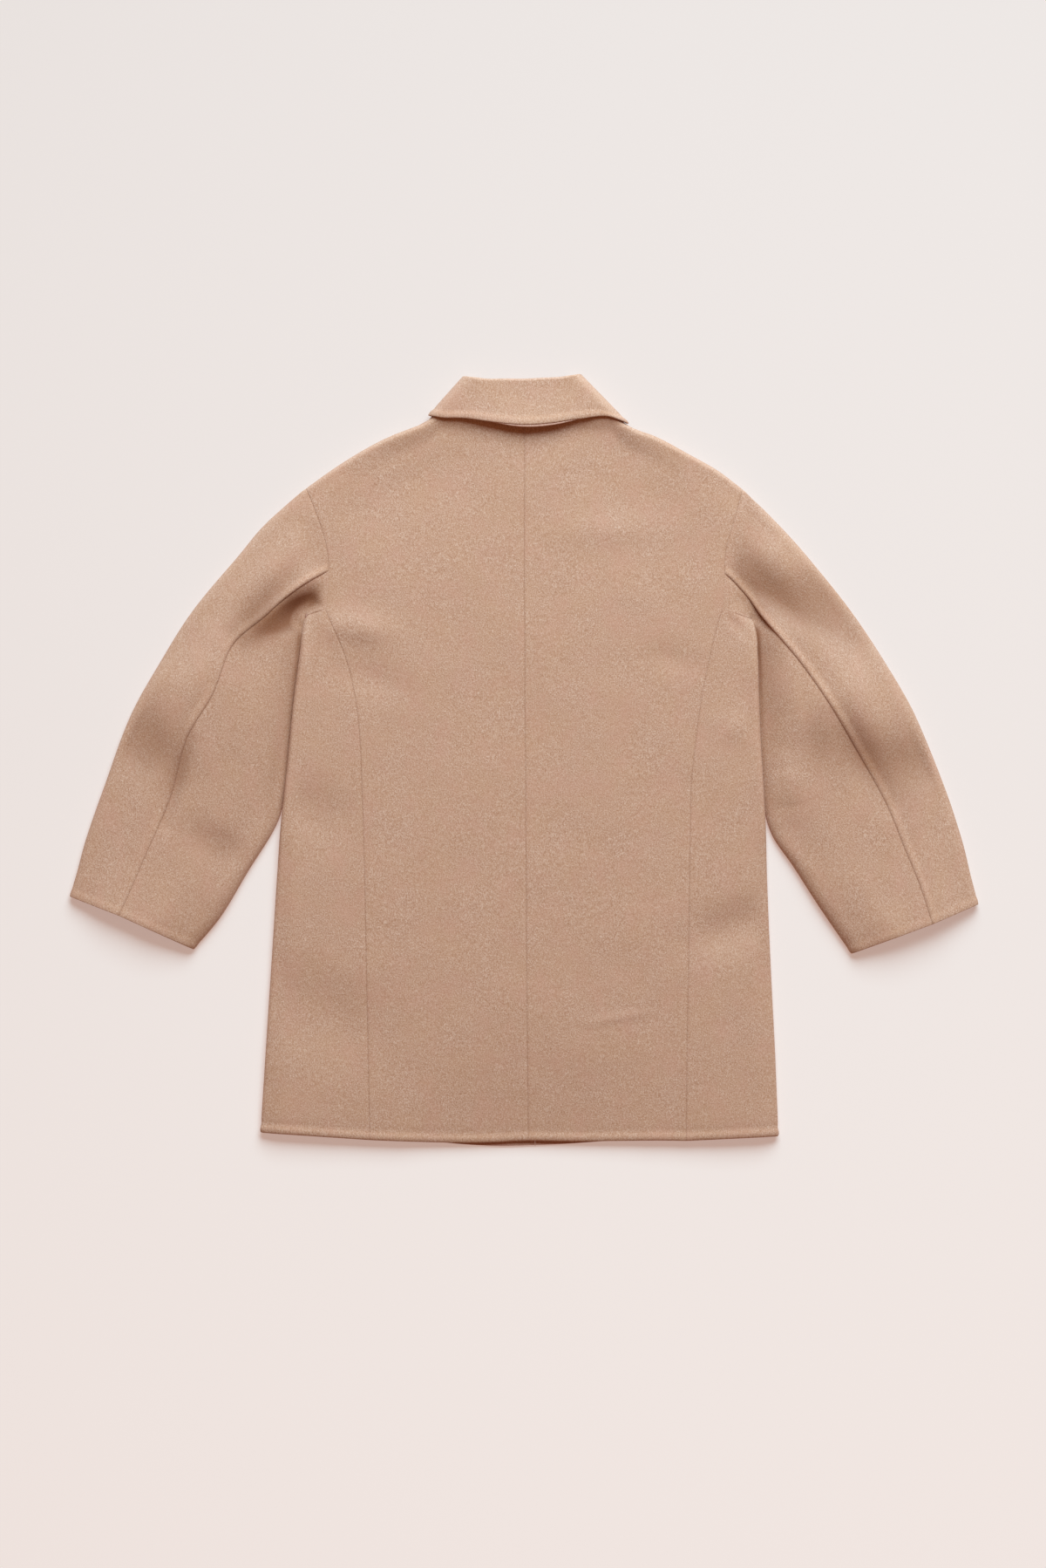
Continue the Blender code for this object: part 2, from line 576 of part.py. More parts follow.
def build():
    for old in list(bpy.data.objects):
        bpy.data.objects.remove(old, do_unlink=True)
    coat = bpy.data.objects.new("coat", None)
    coat.location = (-MIDDLE_ACROSS * MM, -MIDDLE_ALONG * MM, 0)
    bpy.context.scene.collection.objects.link(coat)

    frames = collar_frames()
    neck = neck_points(frames)
    middle = len(frames) // 2
    grids = {}
    facings = {}
    for side, half_neck in (("left", neck[: middle + 1]), ("right", neck[middle:][::-1])):
        shoulder = int(np.argmin(np.abs(half_neck[:, 2] - COLLAR_LEVEL)))
        grids["side_" + side] = side_grid(side)
        facings["side_" + side] = (0, 0, 1)
        grids["back_" + side] = back_grid(side, half_neck[shoulder:])
        facings["back_" + side] = (0, 0, 1)
        grids["front_" + side] = front_grid(side, half_neck[shoulder::-1])
        facings["front_" + side] = (0, 0, -1)
        back_edge = grids["back_" + side][BODY_ROWS:, 0]
        front_edge = grids["front_" + side][BODY_ROWS:, 0]
        side_edge = grids["side_" + side][-1]
        side_top = side_edge[: SIDE_TOP_FLATS + ARC_STEPS + 1]
        side_low = side_edge[SIDE_TOP_FLATS + ARC_STEPS + 1 :]
        upper_top = back_edge[ARMHOLE_LOW_STEPS:]
        upper_low = front_edge[1:-1][::-1]
        under_top = np.concatenate([back_edge[: ARMHOLE_LOW_STEPS + 1][::-1], side_top[1:]])
        under_low = np.concatenate([side_low, front_edge[1:2]])
        grids["sleeve_upper_" + side] = sleeve_grid(side, "outer", upper_top, upper_low)
        facings["sleeve_upper_" + side] = (-1, 0, 1)
        grids["sleeve_under_" + side] = sleeve_grid(side, "inner", under_top, under_low)
        facings["sleeve_under_" + side] = (-1, 0, 1)
    grids["collar"] = collar_grid(frames)
    facings["collar"] = (middle, -1, 1)
    sums = gathered(grids, facings)
    for name, grid in grids.items():
        cloth(name, grid, sums, coat)


build()
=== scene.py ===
import math

import bmesh
import bpy
import numpy as np
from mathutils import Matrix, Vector, noise


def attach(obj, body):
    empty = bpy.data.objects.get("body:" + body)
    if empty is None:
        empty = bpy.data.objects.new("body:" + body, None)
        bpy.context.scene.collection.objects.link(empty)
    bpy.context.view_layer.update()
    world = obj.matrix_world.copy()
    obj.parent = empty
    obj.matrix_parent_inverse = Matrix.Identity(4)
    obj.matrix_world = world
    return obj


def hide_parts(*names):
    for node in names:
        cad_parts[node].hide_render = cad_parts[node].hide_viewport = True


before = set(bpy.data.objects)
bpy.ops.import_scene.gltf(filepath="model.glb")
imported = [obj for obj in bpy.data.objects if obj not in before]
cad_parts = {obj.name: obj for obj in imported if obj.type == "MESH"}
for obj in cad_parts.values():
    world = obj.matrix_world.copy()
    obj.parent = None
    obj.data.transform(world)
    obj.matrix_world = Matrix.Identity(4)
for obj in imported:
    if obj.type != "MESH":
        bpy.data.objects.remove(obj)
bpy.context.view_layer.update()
print("frame loaded:", len(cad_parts), "cloth panels")

# The coat lies with its back up. Sizes are in mm: across from the centre line, along from the hem line,
# and level above the table
mm = 0.001
layout = {"middleAcross": -0.25, "middleAlong": 454.57, "floorDrop": 0.2}

cloth = {
    "wall": 2.5,  # felted double cloth
    "step": 3.6,  # mesh step on open cloth
    "hiddenStep": 9.0,  # mesh step on the layer underneath
    "edgeSteps": [0, 0.6, 1.2, 2.0, 3.0, 4.4, 6.2, 8.4, 11.0],  # closer steps beside seams and edges
    "foldSteps": 8, "underSteps": 7,  # mesh steps round a fold, above and beneath
    "curvePoints": 1200,
    "rimRound": 0.2, "rimAngle": 50.0,
    "seamMark": 0.9, "rollMark": 9.0,  # how far the seam's shade and the roll's stitches reach
    "hollowFull": 12.0,  # depth of a fold that is shaded in full
    "gatherFrom": 2.0, "gatherReach": 14.0,  # the wall is thinner where it gathers at the underarms
    "gatherShare": 0.05, "gatherLeast": 0.1,
    "topFrom": 4.0, "topEase": 6.0, "topTurn": 2.0,  # level and slope at which the layer on top begins
    "grainShift": (0.9, 0.37),  # m, so that no two pieces share a part of the cloth
    "waves": [(110, 1.0), (45, 0.4), (20, 0.12), (9, 0.05)],  # size and height of the felt's unevenness
}


def table(keys, rows):
    return dict(zip(keys.split(), np.array(rows, float).T))


def smooth(stations, values, at):  # soft curve through the values of a table
    stations, values, at = (np.asarray(item, float) for item in (stations, values, at))
    slopes = np.gradient(values, stations)
    low = np.clip(np.searchsorted(stations, at, side="right") - 1, 0, len(stations) - 2)
    step = stations[low + 1] - stations[low]
    part = np.clip((at - stations[low]) / step, 0, 1)
    start = (1 + 2 * part) * (1 - part) ** 2 * values[low] + part * (1 - part) ** 2 * step * slopes[low]
    return start + part**2 * (3 - 2 * part) * values[low + 1] + part**2 * (part - 1) * step * slopes[low + 1]


def lengths(points):
    return np.concatenate([[0.0], np.cumsum(np.linalg.norm(np.diff(points, axis=0), axis=1))])


def curve(points, count=cloth["curvePoints"]):
    points = np.asarray(points, float)
    along = lengths(points)
    at = np.linspace(0, along[-1], count)
    return np.stack([smooth(along, column, at) for column in points.T], axis=-1)


def atShares(line, shares):  # points at shares of a line's length
    along = lengths(line)
    wanted = np.asarray(shares) * along[-1]
    return np.stack([np.interp(wanted, along, column) for column in line.T], axis=-1)


def ease(value):
    value = np.clip(value, 0, 1)
    return value * value * (3 - 2 * value)


def quarterRound(distance, reach):
    return np.sqrt(np.clip(1 - (1 - np.clip(distance / reach, 0, 1)) ** 2, 0, 1))


def arc(reach, count):
    return reach * (1 - np.cos(np.linspace(0, math.pi / 2, count + 1)))


def spaced(length, step, first=True, last=True):  # mesh steps, closer at the ends that are seams or edges
    fine = np.array(cloth["edgeSteps"], float)
    start = fine if first else fine[:1]
    end = length - (fine[::-1] if last else fine[:1])
    count = max(1, math.ceil((end[0] - start[-1]) / step))
    return np.concatenate([start, np.linspace(start[-1], end[0], count + 1)[1:-1], end])


def foldSteps(width, reach, under, wide, lowSteps):  # distances from a fold, over the top and then beneath
    flat = 1 - spaced(wide, cloth["step"], True, False) / wide
    lowFlat = np.linspace(0, 1, lowSteps)[1:]
    top = np.concatenate([reach + (width - reach) * flat, arc(reach, cloth["foldSteps"])[-2::-1]])
    low = np.concatenate([arc(under, cloth["underSteps"])[1:], under + (width - under) * lowFlat])
    return top, low


# Folds and creases of the upper layer: a line, its half width on the left and the right of it, and its rise
creaseTaper = 0.6  # how much lower a crease is at its ends
creases = [
    (-371, 581, -412, 529, 22, 22, 2.0),  # left sleeve
    (-470, 540, -402, 561, 30, 30, 2.6),  # left elbow
    (-524, 516, -432, 440, 38, 28, -5.2),
    (-454, 517, -418, 436, 22, 22, -2.5),
    (-400, 480, -428, 380, 9, 10, -4.0),
    (-400, 372, -340, 340, 20, 22, -3.0),
    (336, 520, 425, 536, 28, 28, 2.4),  # right sleeve
    (368, 464, 500, 446, 34, 34, -5.8),  # right elbow
    (378, 503, 432, 405, 16, 17, -3.6),
    (435, 441, 468, 379, 20, 20, -1.5),
    (331, 503, 368, 425, 22, 22, -2.0),
    (310, 446, 316, 399, 18, 18, 3.4),
    (399, 249, 461, 259, 22, 22, 1.5),
    (-236, 618, -160, 606, 18, 18, 4.0),  # back, left of the centre
    (-215, 560, -150, 545, 20, 20, -2.5),
    (-290, 412, -205, 366, 34, 34, -3.6),
    (-312, 180, -180, 124, 44, 50, -4.8),
    (-199, 810, -126, 836, 16, 16, -1.2),
    (-225, 728, -40, 838, 34, 80, -3.8),
    (66, 832, 190, 742, 30, 75, -3.6),  # back, right of the centre
    (92, 836, 165, 805, 16, 16, -1.2),
    (50, 724, 145, 732, 20, 20, 2.0),
    (150, 580, 205, 566, 16, 16, -1.8),
    (238, 500, 262, 485, 18, 18, 2.0),
    (205, 236, 292, 276, 26, 28, -5.5),
    (245, 624, 269, 600, 6, 6, -1.2),
    (75, 141, 146, 154, 5, 5, 1.0),
    (-150, -5, 150, -5, 80, 80, -7.5),  # the hem lies flatter in the middle
    (-266, 650, -254, 622, 20, 22, -3.5),  # the body sinks towards the underarms
    (274, 646, 264, 622, 18, 20, -2.0),
]


def creaseRise(across, along, rows=creases):
    total = np.zeros(np.shape(across))
    for fromX, fromY, toX, toY, leftWidth, rightWidth, rise in rows:
        lineX, lineY = toX - fromX, toY - fromY
        offX, offY = across - fromX, along - fromY
        part = np.clip((offX * lineX + offY * lineY) / (lineX**2 + lineY**2), 0, 1)
        away = np.hypot(offX - part * lineX, offY - part * lineY)
        beside = (lineX * offY - lineY * offX) / math.hypot(lineX, lineY) / np.maximum(away, 1e-6)
        width = (leftWidth + rightWidth) / 2 + (leftWidth - rightWidth) / 2 * beside
        total = total + rise * (1 - creaseTaper * (2 * part - 1) ** 2) * np.exp(-((away / width) ** 2))
    return total


body = {
    "sections": table("along leftFold leftSeam centre rightSeam rightFold foldLevel underReach crown", [
        (0, -315.0, -184.5, 4.7, 193.0, 303.5, 7.5, 9, 15.0),
        (113, -308.4, -186.7, 3.6, 194.0, 299.0, 7.5, 9, 14.2),
        (217, -301.6, -188.8, 2.6, 196.0, 293.8, 7.0, 9, 14.5),
        (321, -294.8, -190.8, 2.1, 197.1, 289.6, 8.0, 14, 14.8),
        (379, -290.7, -192.4, 1.6, 198.1, 288.1, 10.0, 26, 15.0),
        (425, -285.5, -194.0, 1.6, 199.2, 285.5, 10.5, 30, 15.3),
        (477, -280.3, -196.0, 1.0, 204.4, 282.4, 10.5, 30, 15.5),
        (529, -275.1, -201.8, 0.5, 211.6, 280.3, 10.5, 30, 15.5),
        (581, -268.3, -214.8, 0.5, 222.0, 278.7, 10.5, 30, 15.5),
        (613, -264.7, -228.3, 0.3, 229.8, 275.6, 8.0, 26, 15.5),
        (640, -260.2, -240.0, 0.0, 237.5, 275.0, 5.0, 20, 15.5),
        (760, -260.2, -240.0, 0.0, 237.5, 275.0, 10.5, 20, 15.5),
        (825, -260.2, -240.0, 0.0, 237.5, 275.0, 10.5, 20, 14.8),
        (850, -260.2, -240.0, 0.0, 237.5, 275.0, 10.5, 20, 14.8),
        (873, -260.2, -240.0, 0.0, 237.5, 275.0, 10.5, 20, 18.0),
        (890, -260.2, -240.0, 0.0, 237.5, 275.0, 10.5, 20, 18.0),
    ]),
    "foldHalf": 5.0, "foldReach": 6.0, "underShare": 0.85,
    "sideHalfShare": 0.5, "sideReach": 6.0, "crownReach": 24.0,
    "sideWide": 110.0, "sideLowSteps": 12, "halfWide": 190.0, "shoulderPoints": 300,  # for the mesh steps
    "hemRoll": 0.8, "faintSeam": 0.35,  # how strongly the hem's roll and the seam below the sleeve show
    "armFaint": (657.0, 19.0, 8.0), "sideFaint": (624.0, 20.0),  # where along the seam, and how softly
    "backHem": [(-315, 10.5), (-282, 8), (-210, 3), (-157, 0.5), (-43, -1.5), (5, 0.5), (50, 0), (154, 1),
                (258, 1.5), (303.5, 6)],
    "frontHem": [(-315, 12), (-210, 4.5), (-120, 0.5), (-70, -4.0), (-30, -5.8), (10, -4.8), (50, -3.2),
                 (105, 0.5), (258, 3), (303.5, 7.5)],
    "armhole": {
        "left": [(-237.6, 634.4), (-234.5, 654.2), (-233.5, 680.2), (-235.6, 706.2), (-246.0, 742.6),
                 (-260.5, 779.0)],
        "right": [(236.6, 634.4), (238.7, 654.2), (238.7, 677.0), (240.8, 706.2), (251.2, 742.6),
                  (260.5, 777.9)],
    },
    "sleeveSeamPoint": 2,  # the armhole's point where the sleeve's back seam begins
    "underarm": {"left": (-261.6, 627.1), "right": (271.5, 623.0)},
    "shoulder": {
        "left": [(-260.5, 779), (-231.4, 800), (-199.2, 820.6), (-159.6, 841.4), (-132.6, 851.8),
                 (-119.5, 857), (-110.5, 863.5)],
        "right": [(260.5, 777.9), (231.4, 800), (195, 820.6), (155.5, 841.4), (127.4, 852), (116.5, 859)],
    },
    "tipLevel": 8.0, "tipUnderReach": 10.0, "shoulderReach": 40.0, "neckReach": 24.0,
    "centreFront": [(13.0, -6.0), (4.0, 400.0), (0.0, 797.0)], "frontGap": 0.3,
    "hemShiftReach": 60.0, "frontLiftAlong": (690.0, 740.0), "frontLiftAcross": (170.0, 130.0),
}


def bodyAt(key, along):
    return smooth(body["sections"]["along"], body["sections"][key], along)


def bodyTop(across, along):
    return bodyAt("crown", along) + creaseRise(across, along)


def hemLine(points, across):
    xs, ys = np.array(points, float).T
    return np.stack([across, smooth(xs, ys, across)], axis=-1)


def hemUp(key, before, end):  # a line up the body, from the back's hem to its end
    alongs = body["sections"]["along"]
    alongs = alongs[alongs < before]
    xs = bodyAt(key, alongs)
    return curve([hemLine(body["backHem"], xs[0])] + list(zip(xs[1:], alongs[1:])) + [end])


def bodySide(side):  # side-back seam and side fold, hem to armhole
    ends = {"Seam": body["armhole"][side][0], "Fold": body["underarm"][side]}
    return [hemUp(side + key, end[1] - body["foldReach"], end) for key, end in ends.items()]


def sideGrid(side):  # from the side-back seam round the fold to the seam beneath
    seam, fold = bodySide(side)
    run = lengths(seam)[-1]
    shares = spaced(run, cloth["step"]) / run
    reach = body["sideReach"]
    grid = []
    for onSeam, onFold in zip(atShares(seam, shares), atShares(fold, shares)):
        width = np.linalg.norm(onSeam - onFold)
        level = bodyAt("foldLevel", onFold[1])
        under = min(bodyAt("underReach", onFold[1]), body["underShare"] * width)
        top, low = foldSteps(width, reach, under, body["sideWide"], body["sideLowSteps"])
        plan = onFold + np.concatenate([top, low])[:, None] * (onSeam - onFold) / width
        edge = level * (1 + body["sideHalfShare"] * quarterRound(top, reach))
        height = edge + (bodyTop(*plan[: len(top)].T) - edge) * ease(top / body["crownReach"])
        height = np.concatenate([height, level * (1 - quarterRound(low, under))])
        grid.append(np.column_stack([plan, height]))
    return np.array(grid)


collar = {
    "sections": table("rollX rollY edgeX edgeY turnFrom turnTo stand lift drop", [
        (-12, 812, -52, 752, 180, 180, 14, 0, 0),
        (-34, 842, -84, 792, 180, 180, 24, 0, 0),
        (-54, 878, -102, 830, 180, 180, 38, 0, 0),
        (-64, 906.7, -107, 859, 180, 0, 50, 0, 0),
        (-45, 909.3, -72, 862.0, 0, 0, 42, 2, 0),
        (-22, 909.5, -38, 857.5, 0, 0, 39, 4.5, 0),
        (0, 909.3, 0, 854.3, 0, 0, 38, 6, 0),
        (22, 910.5, 33, 856.5, 0, 0, 39.5, 5, 0),
        (42, 911.5, 68, 861.5, 0, 0, 44, 2.5, 0),
        (58.5, 909, 107.5, 859, 0, 180, 58, 0, 14),
        (50, 878, 102, 828, 180, 180, 40, 0, 0),
        (34, 842, 84, 792, 180, 180, 24, 0, 0),
        (12, 812, 52, 752, 180, 180, 14, 0, 0),
    ]),
    "level": 11.0, "outside": 11.0, "inside": 4.5, "cornerEase": 6.0, "seamGap": 0.6,
    "step": 3.0, "turnStep": 10, "standSteps": 9, "rollSteps": 13,  # mesh steps
    "fall": 58.0, "edgeRoll": 0.6,
    "underMiddle": 16.0, "underHalf": 54.0, "underShow": 2.8, "underDrop": 1.4,  # second layer
    "underDeep": 24.0, "underRow": 8, "underSteps": 10,
}


def collarFrames():  # along the collar: where it rolls, which way it falls, where its outside faces
    frames = []
    rows = collar["sections"]
    for rollX, rollY, edgeX, edgeY, turnFrom, turnTo, stand, lift, drop in zip(*rows.values()):
        roll = np.array([rollX, rollY, collar["level"]])
        down = np.array([edgeX - rollX, edgeY - rollY, 0.0])
        depth = np.linalg.norm(down)
        down = down / depth
        outward = np.array([-down[1], down[0], 0.0]) * (1 if -down[1] * rollX > 0 else -1)
        count = int(abs(turnTo - turnFrom) // collar["turnStep"])
        cornerEase = collar["cornerEase"] if count else 0
        for turn in np.linspace(turnFrom, turnTo, count + 1):
            angle = math.radians(turn)
            raised = roll - down * cornerEase * (1 - math.sin(angle))
            facing = outward * math.sin(angle) + np.array([0, 0, math.cos(angle)])
            frames.append((raised, down, facing, depth + drop * math.sin(angle), stand, lift))
    return frames


def collarGrids(frames):  # rows from the neck seam over the roll to the edge, and the neck line on the body
    inside, outside = collar["inside"], collar["outside"]
    radius, middle = (outside - inside) / 2, (outside + inside) / 2
    keys, neck = [], []
    fallShares = spaced(collar["fall"], collar["step"], False, True)[1:] / collar["fall"]
    for roll, down, facing, depth, stand, lift in frames:
        aways = np.linspace(stand - collar["seamGap"], radius, collar["standSteps"])
        line = [(away, inside) for away in aways]
        for turn in np.linspace(-math.pi / 2, math.pi / 2, collar["rollSteps"])[1:]:
            line.append((radius - radius * math.cos(turn), middle + radius * math.sin(turn)))
        for away in fallShares:
            line.append((radius + (depth - radius) * away, outside + lift * away**2))
        keys.append([roll + down * away + facing * out for away, out in line])
        neck.append(roll + down * stand + facing * (inside + cloth["wall"]))
    keys, neck = np.array(keys), np.array(neck)
    stations = (lengths(keys[:, -1]) + lengths(keys[:, collar["standSteps"] + 1])) / 2
    at = np.linspace(0, stations[-1], math.ceil(stations[-1] / collar["step"]) + 1)
    columns = np.moveaxis(keys, 0, -1)
    fine = np.array([[smooth(stations, axis, at) for axis in column] for column in columns])
    neckLine = np.stack([smooth(stations, axis, at) for axis in neck.T], axis=-1)
    return np.moveaxis(fine, 1, 2), neckLine


def collarStrip(grid):  # second layer, just below the middle of the collar's edge
    rim = grid[-1]
    off = (rim[:, 0] - collar["underMiddle"]) / collar["underHalf"]
    onTop = np.flatnonzero((np.abs(off) < 1) & (rim[:, 2] > collar["level"]))
    rim, inward, off = rim[onTop], grid[-collar["underRow"], onTop] - rim[onTop], off[onTop]
    inward = inward / np.linalg.norm(inward, axis=1, keepdims=True)
    show = collar["underShow"] * (1 - off**2)
    shares = np.linspace(0, 1, collar["underSteps"])
    strip = [rim + inward * (share * collar["underDeep"] - (1 - share) * show)[:, None] for share in shares]
    return np.array(strip) - [0, 0, collar["underDrop"]]


def filled(low, high, first, last, up, across):  # plan grid between four edges that share their corners
    across, up = np.asarray(across)[None, :, None], np.asarray(up)[:, None, None]
    between = (1 - across) * first[:, None] + across * last[:, None] + (1 - up) * low[None] + up * high[None]
    corners = (1 - up) * ((1 - across) * low[0] + across * low[-1])
    return between - corners - up * ((1 - across) * high[0] + across * high[-1])


def topEdge(side, neck, over, shares):  # shoulder seam and neck seam in one line
    count = body["shoulderPoints"]
    shoulder = curve(body["shoulder"][side] + [tuple(neck[0][:2])], count)
    toNeck = np.concatenate([np.linspace(0, 1, count), np.ones(len(neck) - 1)])
    tip = body["tipLevel"]
    level = np.concatenate([tip + (neck[0][2] - tip) * toNeck[:count], neck[1:, 2]])
    neckHalf = np.abs(collar["level"] + over * (collar["inside"] + cloth["wall"]) - level)
    half = body["foldHalf"] + (neckHalf - body["foldHalf"]) * toNeck
    reach = body["shoulderReach"] + (body["neckReach"] - body["shoulderReach"]) * toNeck
    plan = np.concatenate([shoulder, neck[1:, :2]])
    along = lengths(plan)
    wanted = np.asarray(shares) * along[-1]
    level, half, reach = (np.interp(wanted, along, values) for values in (level, half, reach))
    return atShares(plan, shares), level, half, reach


def outerEdge(side, step):  # side-back seam and armhole up to the shoulder's tip, and the seam's rows
    seam, _ = bodySide(side)
    seamLength = lengths(seam)[-1]
    seamShares = spaced(seamLength, step, True, False) / seamLength
    armhole = curve(body["armhole"][side])
    armLength = lengths(armhole)[-1]
    armShares = spaced(armLength, step, False, True) / armLength
    return np.concatenate([atShares(seam, seamShares), atShares(armhole, armShares)[1:]]), len(seamShares)


def bodyPlan(hem, outer, centre, high, across):  # plan of a back or a front, and how far it is from its top
    up = lengths(outer) / lengths(outer)[-1]
    inner = atShares(centre, up)
    low = hemLine(hem, outer[0][0] + (inner[0][0] - outer[0][0]) * across)
    low[0], low[-1] = outer[0], inner[0]
    run = lengths(outer)[-1] * (1 - across) + lengths(centre)[-1] * across
    return filled(low, high, outer, inner, up, across), (1 - up)[:, None] * run[None]


def backGrid(side, neck):
    outer, seamRows = outerEdge(side, cloth["step"])
    across = spaced(body["halfWide"], cloth["step"]) / body["halfWide"]
    high, level, half, reach = topEdge(side, neck, 1, across)
    centre = hemUp("centre", body["shoulder"][side][0][1], high[-1])
    plan, away = bodyPlan(body["backHem"], outer, centre, high, across)
    edge = level[None] + half[None] * quarterRound(away, body["foldReach"])
    height = edge + (bodyTop(plan[..., 0], plan[..., 1]) - edge) * ease(away / reach[None])
    return np.dstack([plan, height]), seamRows


def frontGrid(side, neck):
    sign = -1 if side == "left" else 1
    outer, seamRows = outerEdge(side, cloth["hiddenStep"])
    shift = hemLine(body["frontHem"], outer[0][:1])[0] - outer[0]
    outer = outer + (1 - ease(lengths(outer) / body["hemShiftReach"]))[:, None] * shift
    centre = curve(np.array(body["centreFront"]) + [sign * body["frontGap"] / 2, 0])
    corner = np.array([[*centre[-1], neck[-1][2]]])
    across = spaced(body["halfWide"], cloth["hiddenStep"]) / body["halfWide"]
    high, level, _, _ = topEdge(side, np.concatenate([neck, corner]), -1, across)
    plan, away = bodyPlan(body["frontHem"], outer, centre, high, across)
    start, end = body["frontLiftAlong"]
    wide, full = body["frontLiftAcross"]
    lift = collar["level"] - collar["inside"] - cloth["wall"]  # the front rises to the collar's end
    base = lift * ease((plan[..., 1] - start) / (end - start))
    base = base * ease((wide - np.abs(plan[..., 0])) / (wide - full))
    height = base + (level[None] - base) * (1 - quarterRound(away, body["tipUnderReach"]))
    return np.dstack([plan, height]), seamRows


sleeveKeys = "station outerX outerY seamX seamY innerX innerY crown outerLevel innerLevel innerHalf"
sleeves = {
    "left": table(sleeveKeys, [
        (0.0, -260.5, 779.0, -233.5, 680.2, -261.6, 627.1, 15.5, 8.0, 6.4, 3.8),
        (0.2, -270.9, 770.6, -244.9, 673.9, -261.4, 626.0, 17.5, 7.6, 5.6, 3.6),
        (0.5, -284.4, 759.2, -257.4, 666.6, -261.0, 619.0, 19.5, 7.0, 4.6, 3.4),
        (1.0, -308.4, 737.4, -280.3, 651.0, -261.8, 597.0, 21.5, 6.5, 3.6, 3.2),
        (2.0, -343.7, 695.8, -308.5, 626.0, -264.5, 565.8, 22.5, 6.5, 3.4, 3.2),
        (3.0, -395.7, 633.4, -347.9, 590.7, -270.0, 519.0, 23.0, 7.0, 3.4, 3.2),
        (4.0, -435.2, 571.0, -370.8, 533.5, -276.1, 477.4, 23.5, 7.0, 3.4, 3.2),
        (5.0, -469.6, 508.6, -403.0, 478.4, -283.4, 425.4, 20.5, 7.0, 3.4, 3.2),
        (6.0, -500.8, 425.4, -422.8, 407.7, -295.5, 378.6, 17.8, 6.8, 4.0, 6.0),
        (7.0, -522.6, 363.0, -448.8, 347.4, -330.2, 321.4, 17.8, 6.5, 5.0, 9.5),
        (8.0, -534.0, 321.4, -468.5, 301.6, -361.4, 269.4, 19.8, 6.5, 5.2, 9.5),
        (9.0, -542.9, 292.2, -483.1, 269.4, -394.7, 228.8, 22.5, 6.5, 5.2, 8.5),
    ]),
    "right": table(sleeveKeys, [
        (0.0, 260.5, 777.9, 238.7, 677.0, 271.5, 623.0, 15.5, 8.0, 6.9, 4.1),
        (0.2, 269.9, 768.6, 248.0, 668.7, 271.4, 622.0, 16.5, 7.6, 6.4, 4.0),
        (0.5, 283.4, 756.1, 263.6, 652.1, 271.5, 614.0, 18.0, 7.0, 6.0, 4.0),
        (1.0, 302.1, 737.4, 279.4, 630.4, 273.5, 591.0, 20.0, 6.5, 5.0, 3.8),
        (2.0, 339.6, 695.8, 305.5, 598.8, 274.5, 555.4, 22.0, 6.5, 3.8, 3.4),
        (3.0, 389.5, 633.4, 331.8, 566.8, 276.5, 508.6, 23.0, 7.0, 3.4, 3.2),
        (4.0, 431.1, 571.0, 363.5, 521.0, 280.3, 461.8, 23.5, 7.0, 3.4, 3.2),
        (5.0, 466.4, 508.6, 393.6, 471.1, 283.4, 415.0, 20.5, 7.0, 3.4, 3.2),
        (6.0, 500.8, 425.4, 430.0, 406.0, 294.5, 368.2, 17.8, 6.8, 4.0, 6.0),
        (7.0, 521.6, 363.0, 452.9, 350.5, 321.9, 326.6, 17.8, 6.5, 5.0, 9.5),
        (8.0, 533.0, 317.2, 471.6, 304.7, 352.0, 279.8, 19.8, 6.5, 5.2, 9.5),
        (9.0, 542.4, 282.9, 486.2, 259.0, 390.5, 223.6, 22.5, 6.5, 5.2, 8.5),
    ]),
    "outerHalf": 6.5, "roundShare": 2.0,  # the folds' roundness
    "outerReach": 60.0, "innerReach": 66.0, "foldClear": 15.0, "least": 5.6,
    "wide": 110.0, "lowSteps": 15, "seamPoints": 900, "armPoints": 80, "foldPoints": 160,  # mesh steps
    "easeIn": 0.8, "bowEnd": 0.5, "startReach": 5.0, "leaveReach": 40.0,  # leaving the armhole
    "levelNear": 1.2, "levelPower": 4, "deepStart": 18.0, "shadeStart": 18.0,
    "folds": {  # deep folds at the underarms, in the sleeves alone
        "left": [
            (-228, 634, -312, 610, 14, 30, -4.5),  # hollow between the seam and the body's fold
            (-284, 664, -344, 612, 9, 20, -3.5),  # trough above the lip
            (-240, 684, -324, 612, 15, 12, 4.5),  # the lip stands up
        ],
        "right": [
            (243, 682, 384, 602, 44, 22, -8.0),  # trough above the seam
            (276, 708, 344, 676, 24, 24, 2.5),
            (256, 667, 316, 594, 9, 9, 1.5),
        ],
    },
    "paintedShades": {  # painted shade inside the deep folds at the underarms
        "left": [(-236, 652, -330, 602, 15, 22, 15.0)],
        "right": [(252, 694, 340, 655, 24, 20, 1.5)],
    },
    "notch": 372.0, "gapShade": 13.0, "gapWidth": 4.0,  # shade beside the body's fold, down to the notch
    "shadeDepth": 4.0, "shadeWidth": 17.0,
    "tuck": 1.5, "tuckDrop": 0.2, "tuckReach": 5.0, "aheadRow": 4,  # the edge that goes under the body's
    "cuffRoll": 0.3, "armSeam": (0.35, 636.0, 12.0),
    "lipStart": 0.15, "lipEase": 0.06, "lipLoss": 0.3, "lipFrom": 0.25, "lipTo": 0.875,
}


def armholeRow(top, low, topLine, lowLine):  # a sleeve's first row, and its points' shares of the width
    runs = [lengths(line[:, :2]) for line in (topLine, lowLine)]
    row = []
    for shares, run, line in zip((top, low), runs, (topLine, lowLine)):
        row.append(np.stack([np.interp(shares * run[-1], run, axis) for axis in line.T], axis=-1))
    return np.concatenate(row), np.concatenate([top, low * runs[1][-1] / runs[0][-1]])


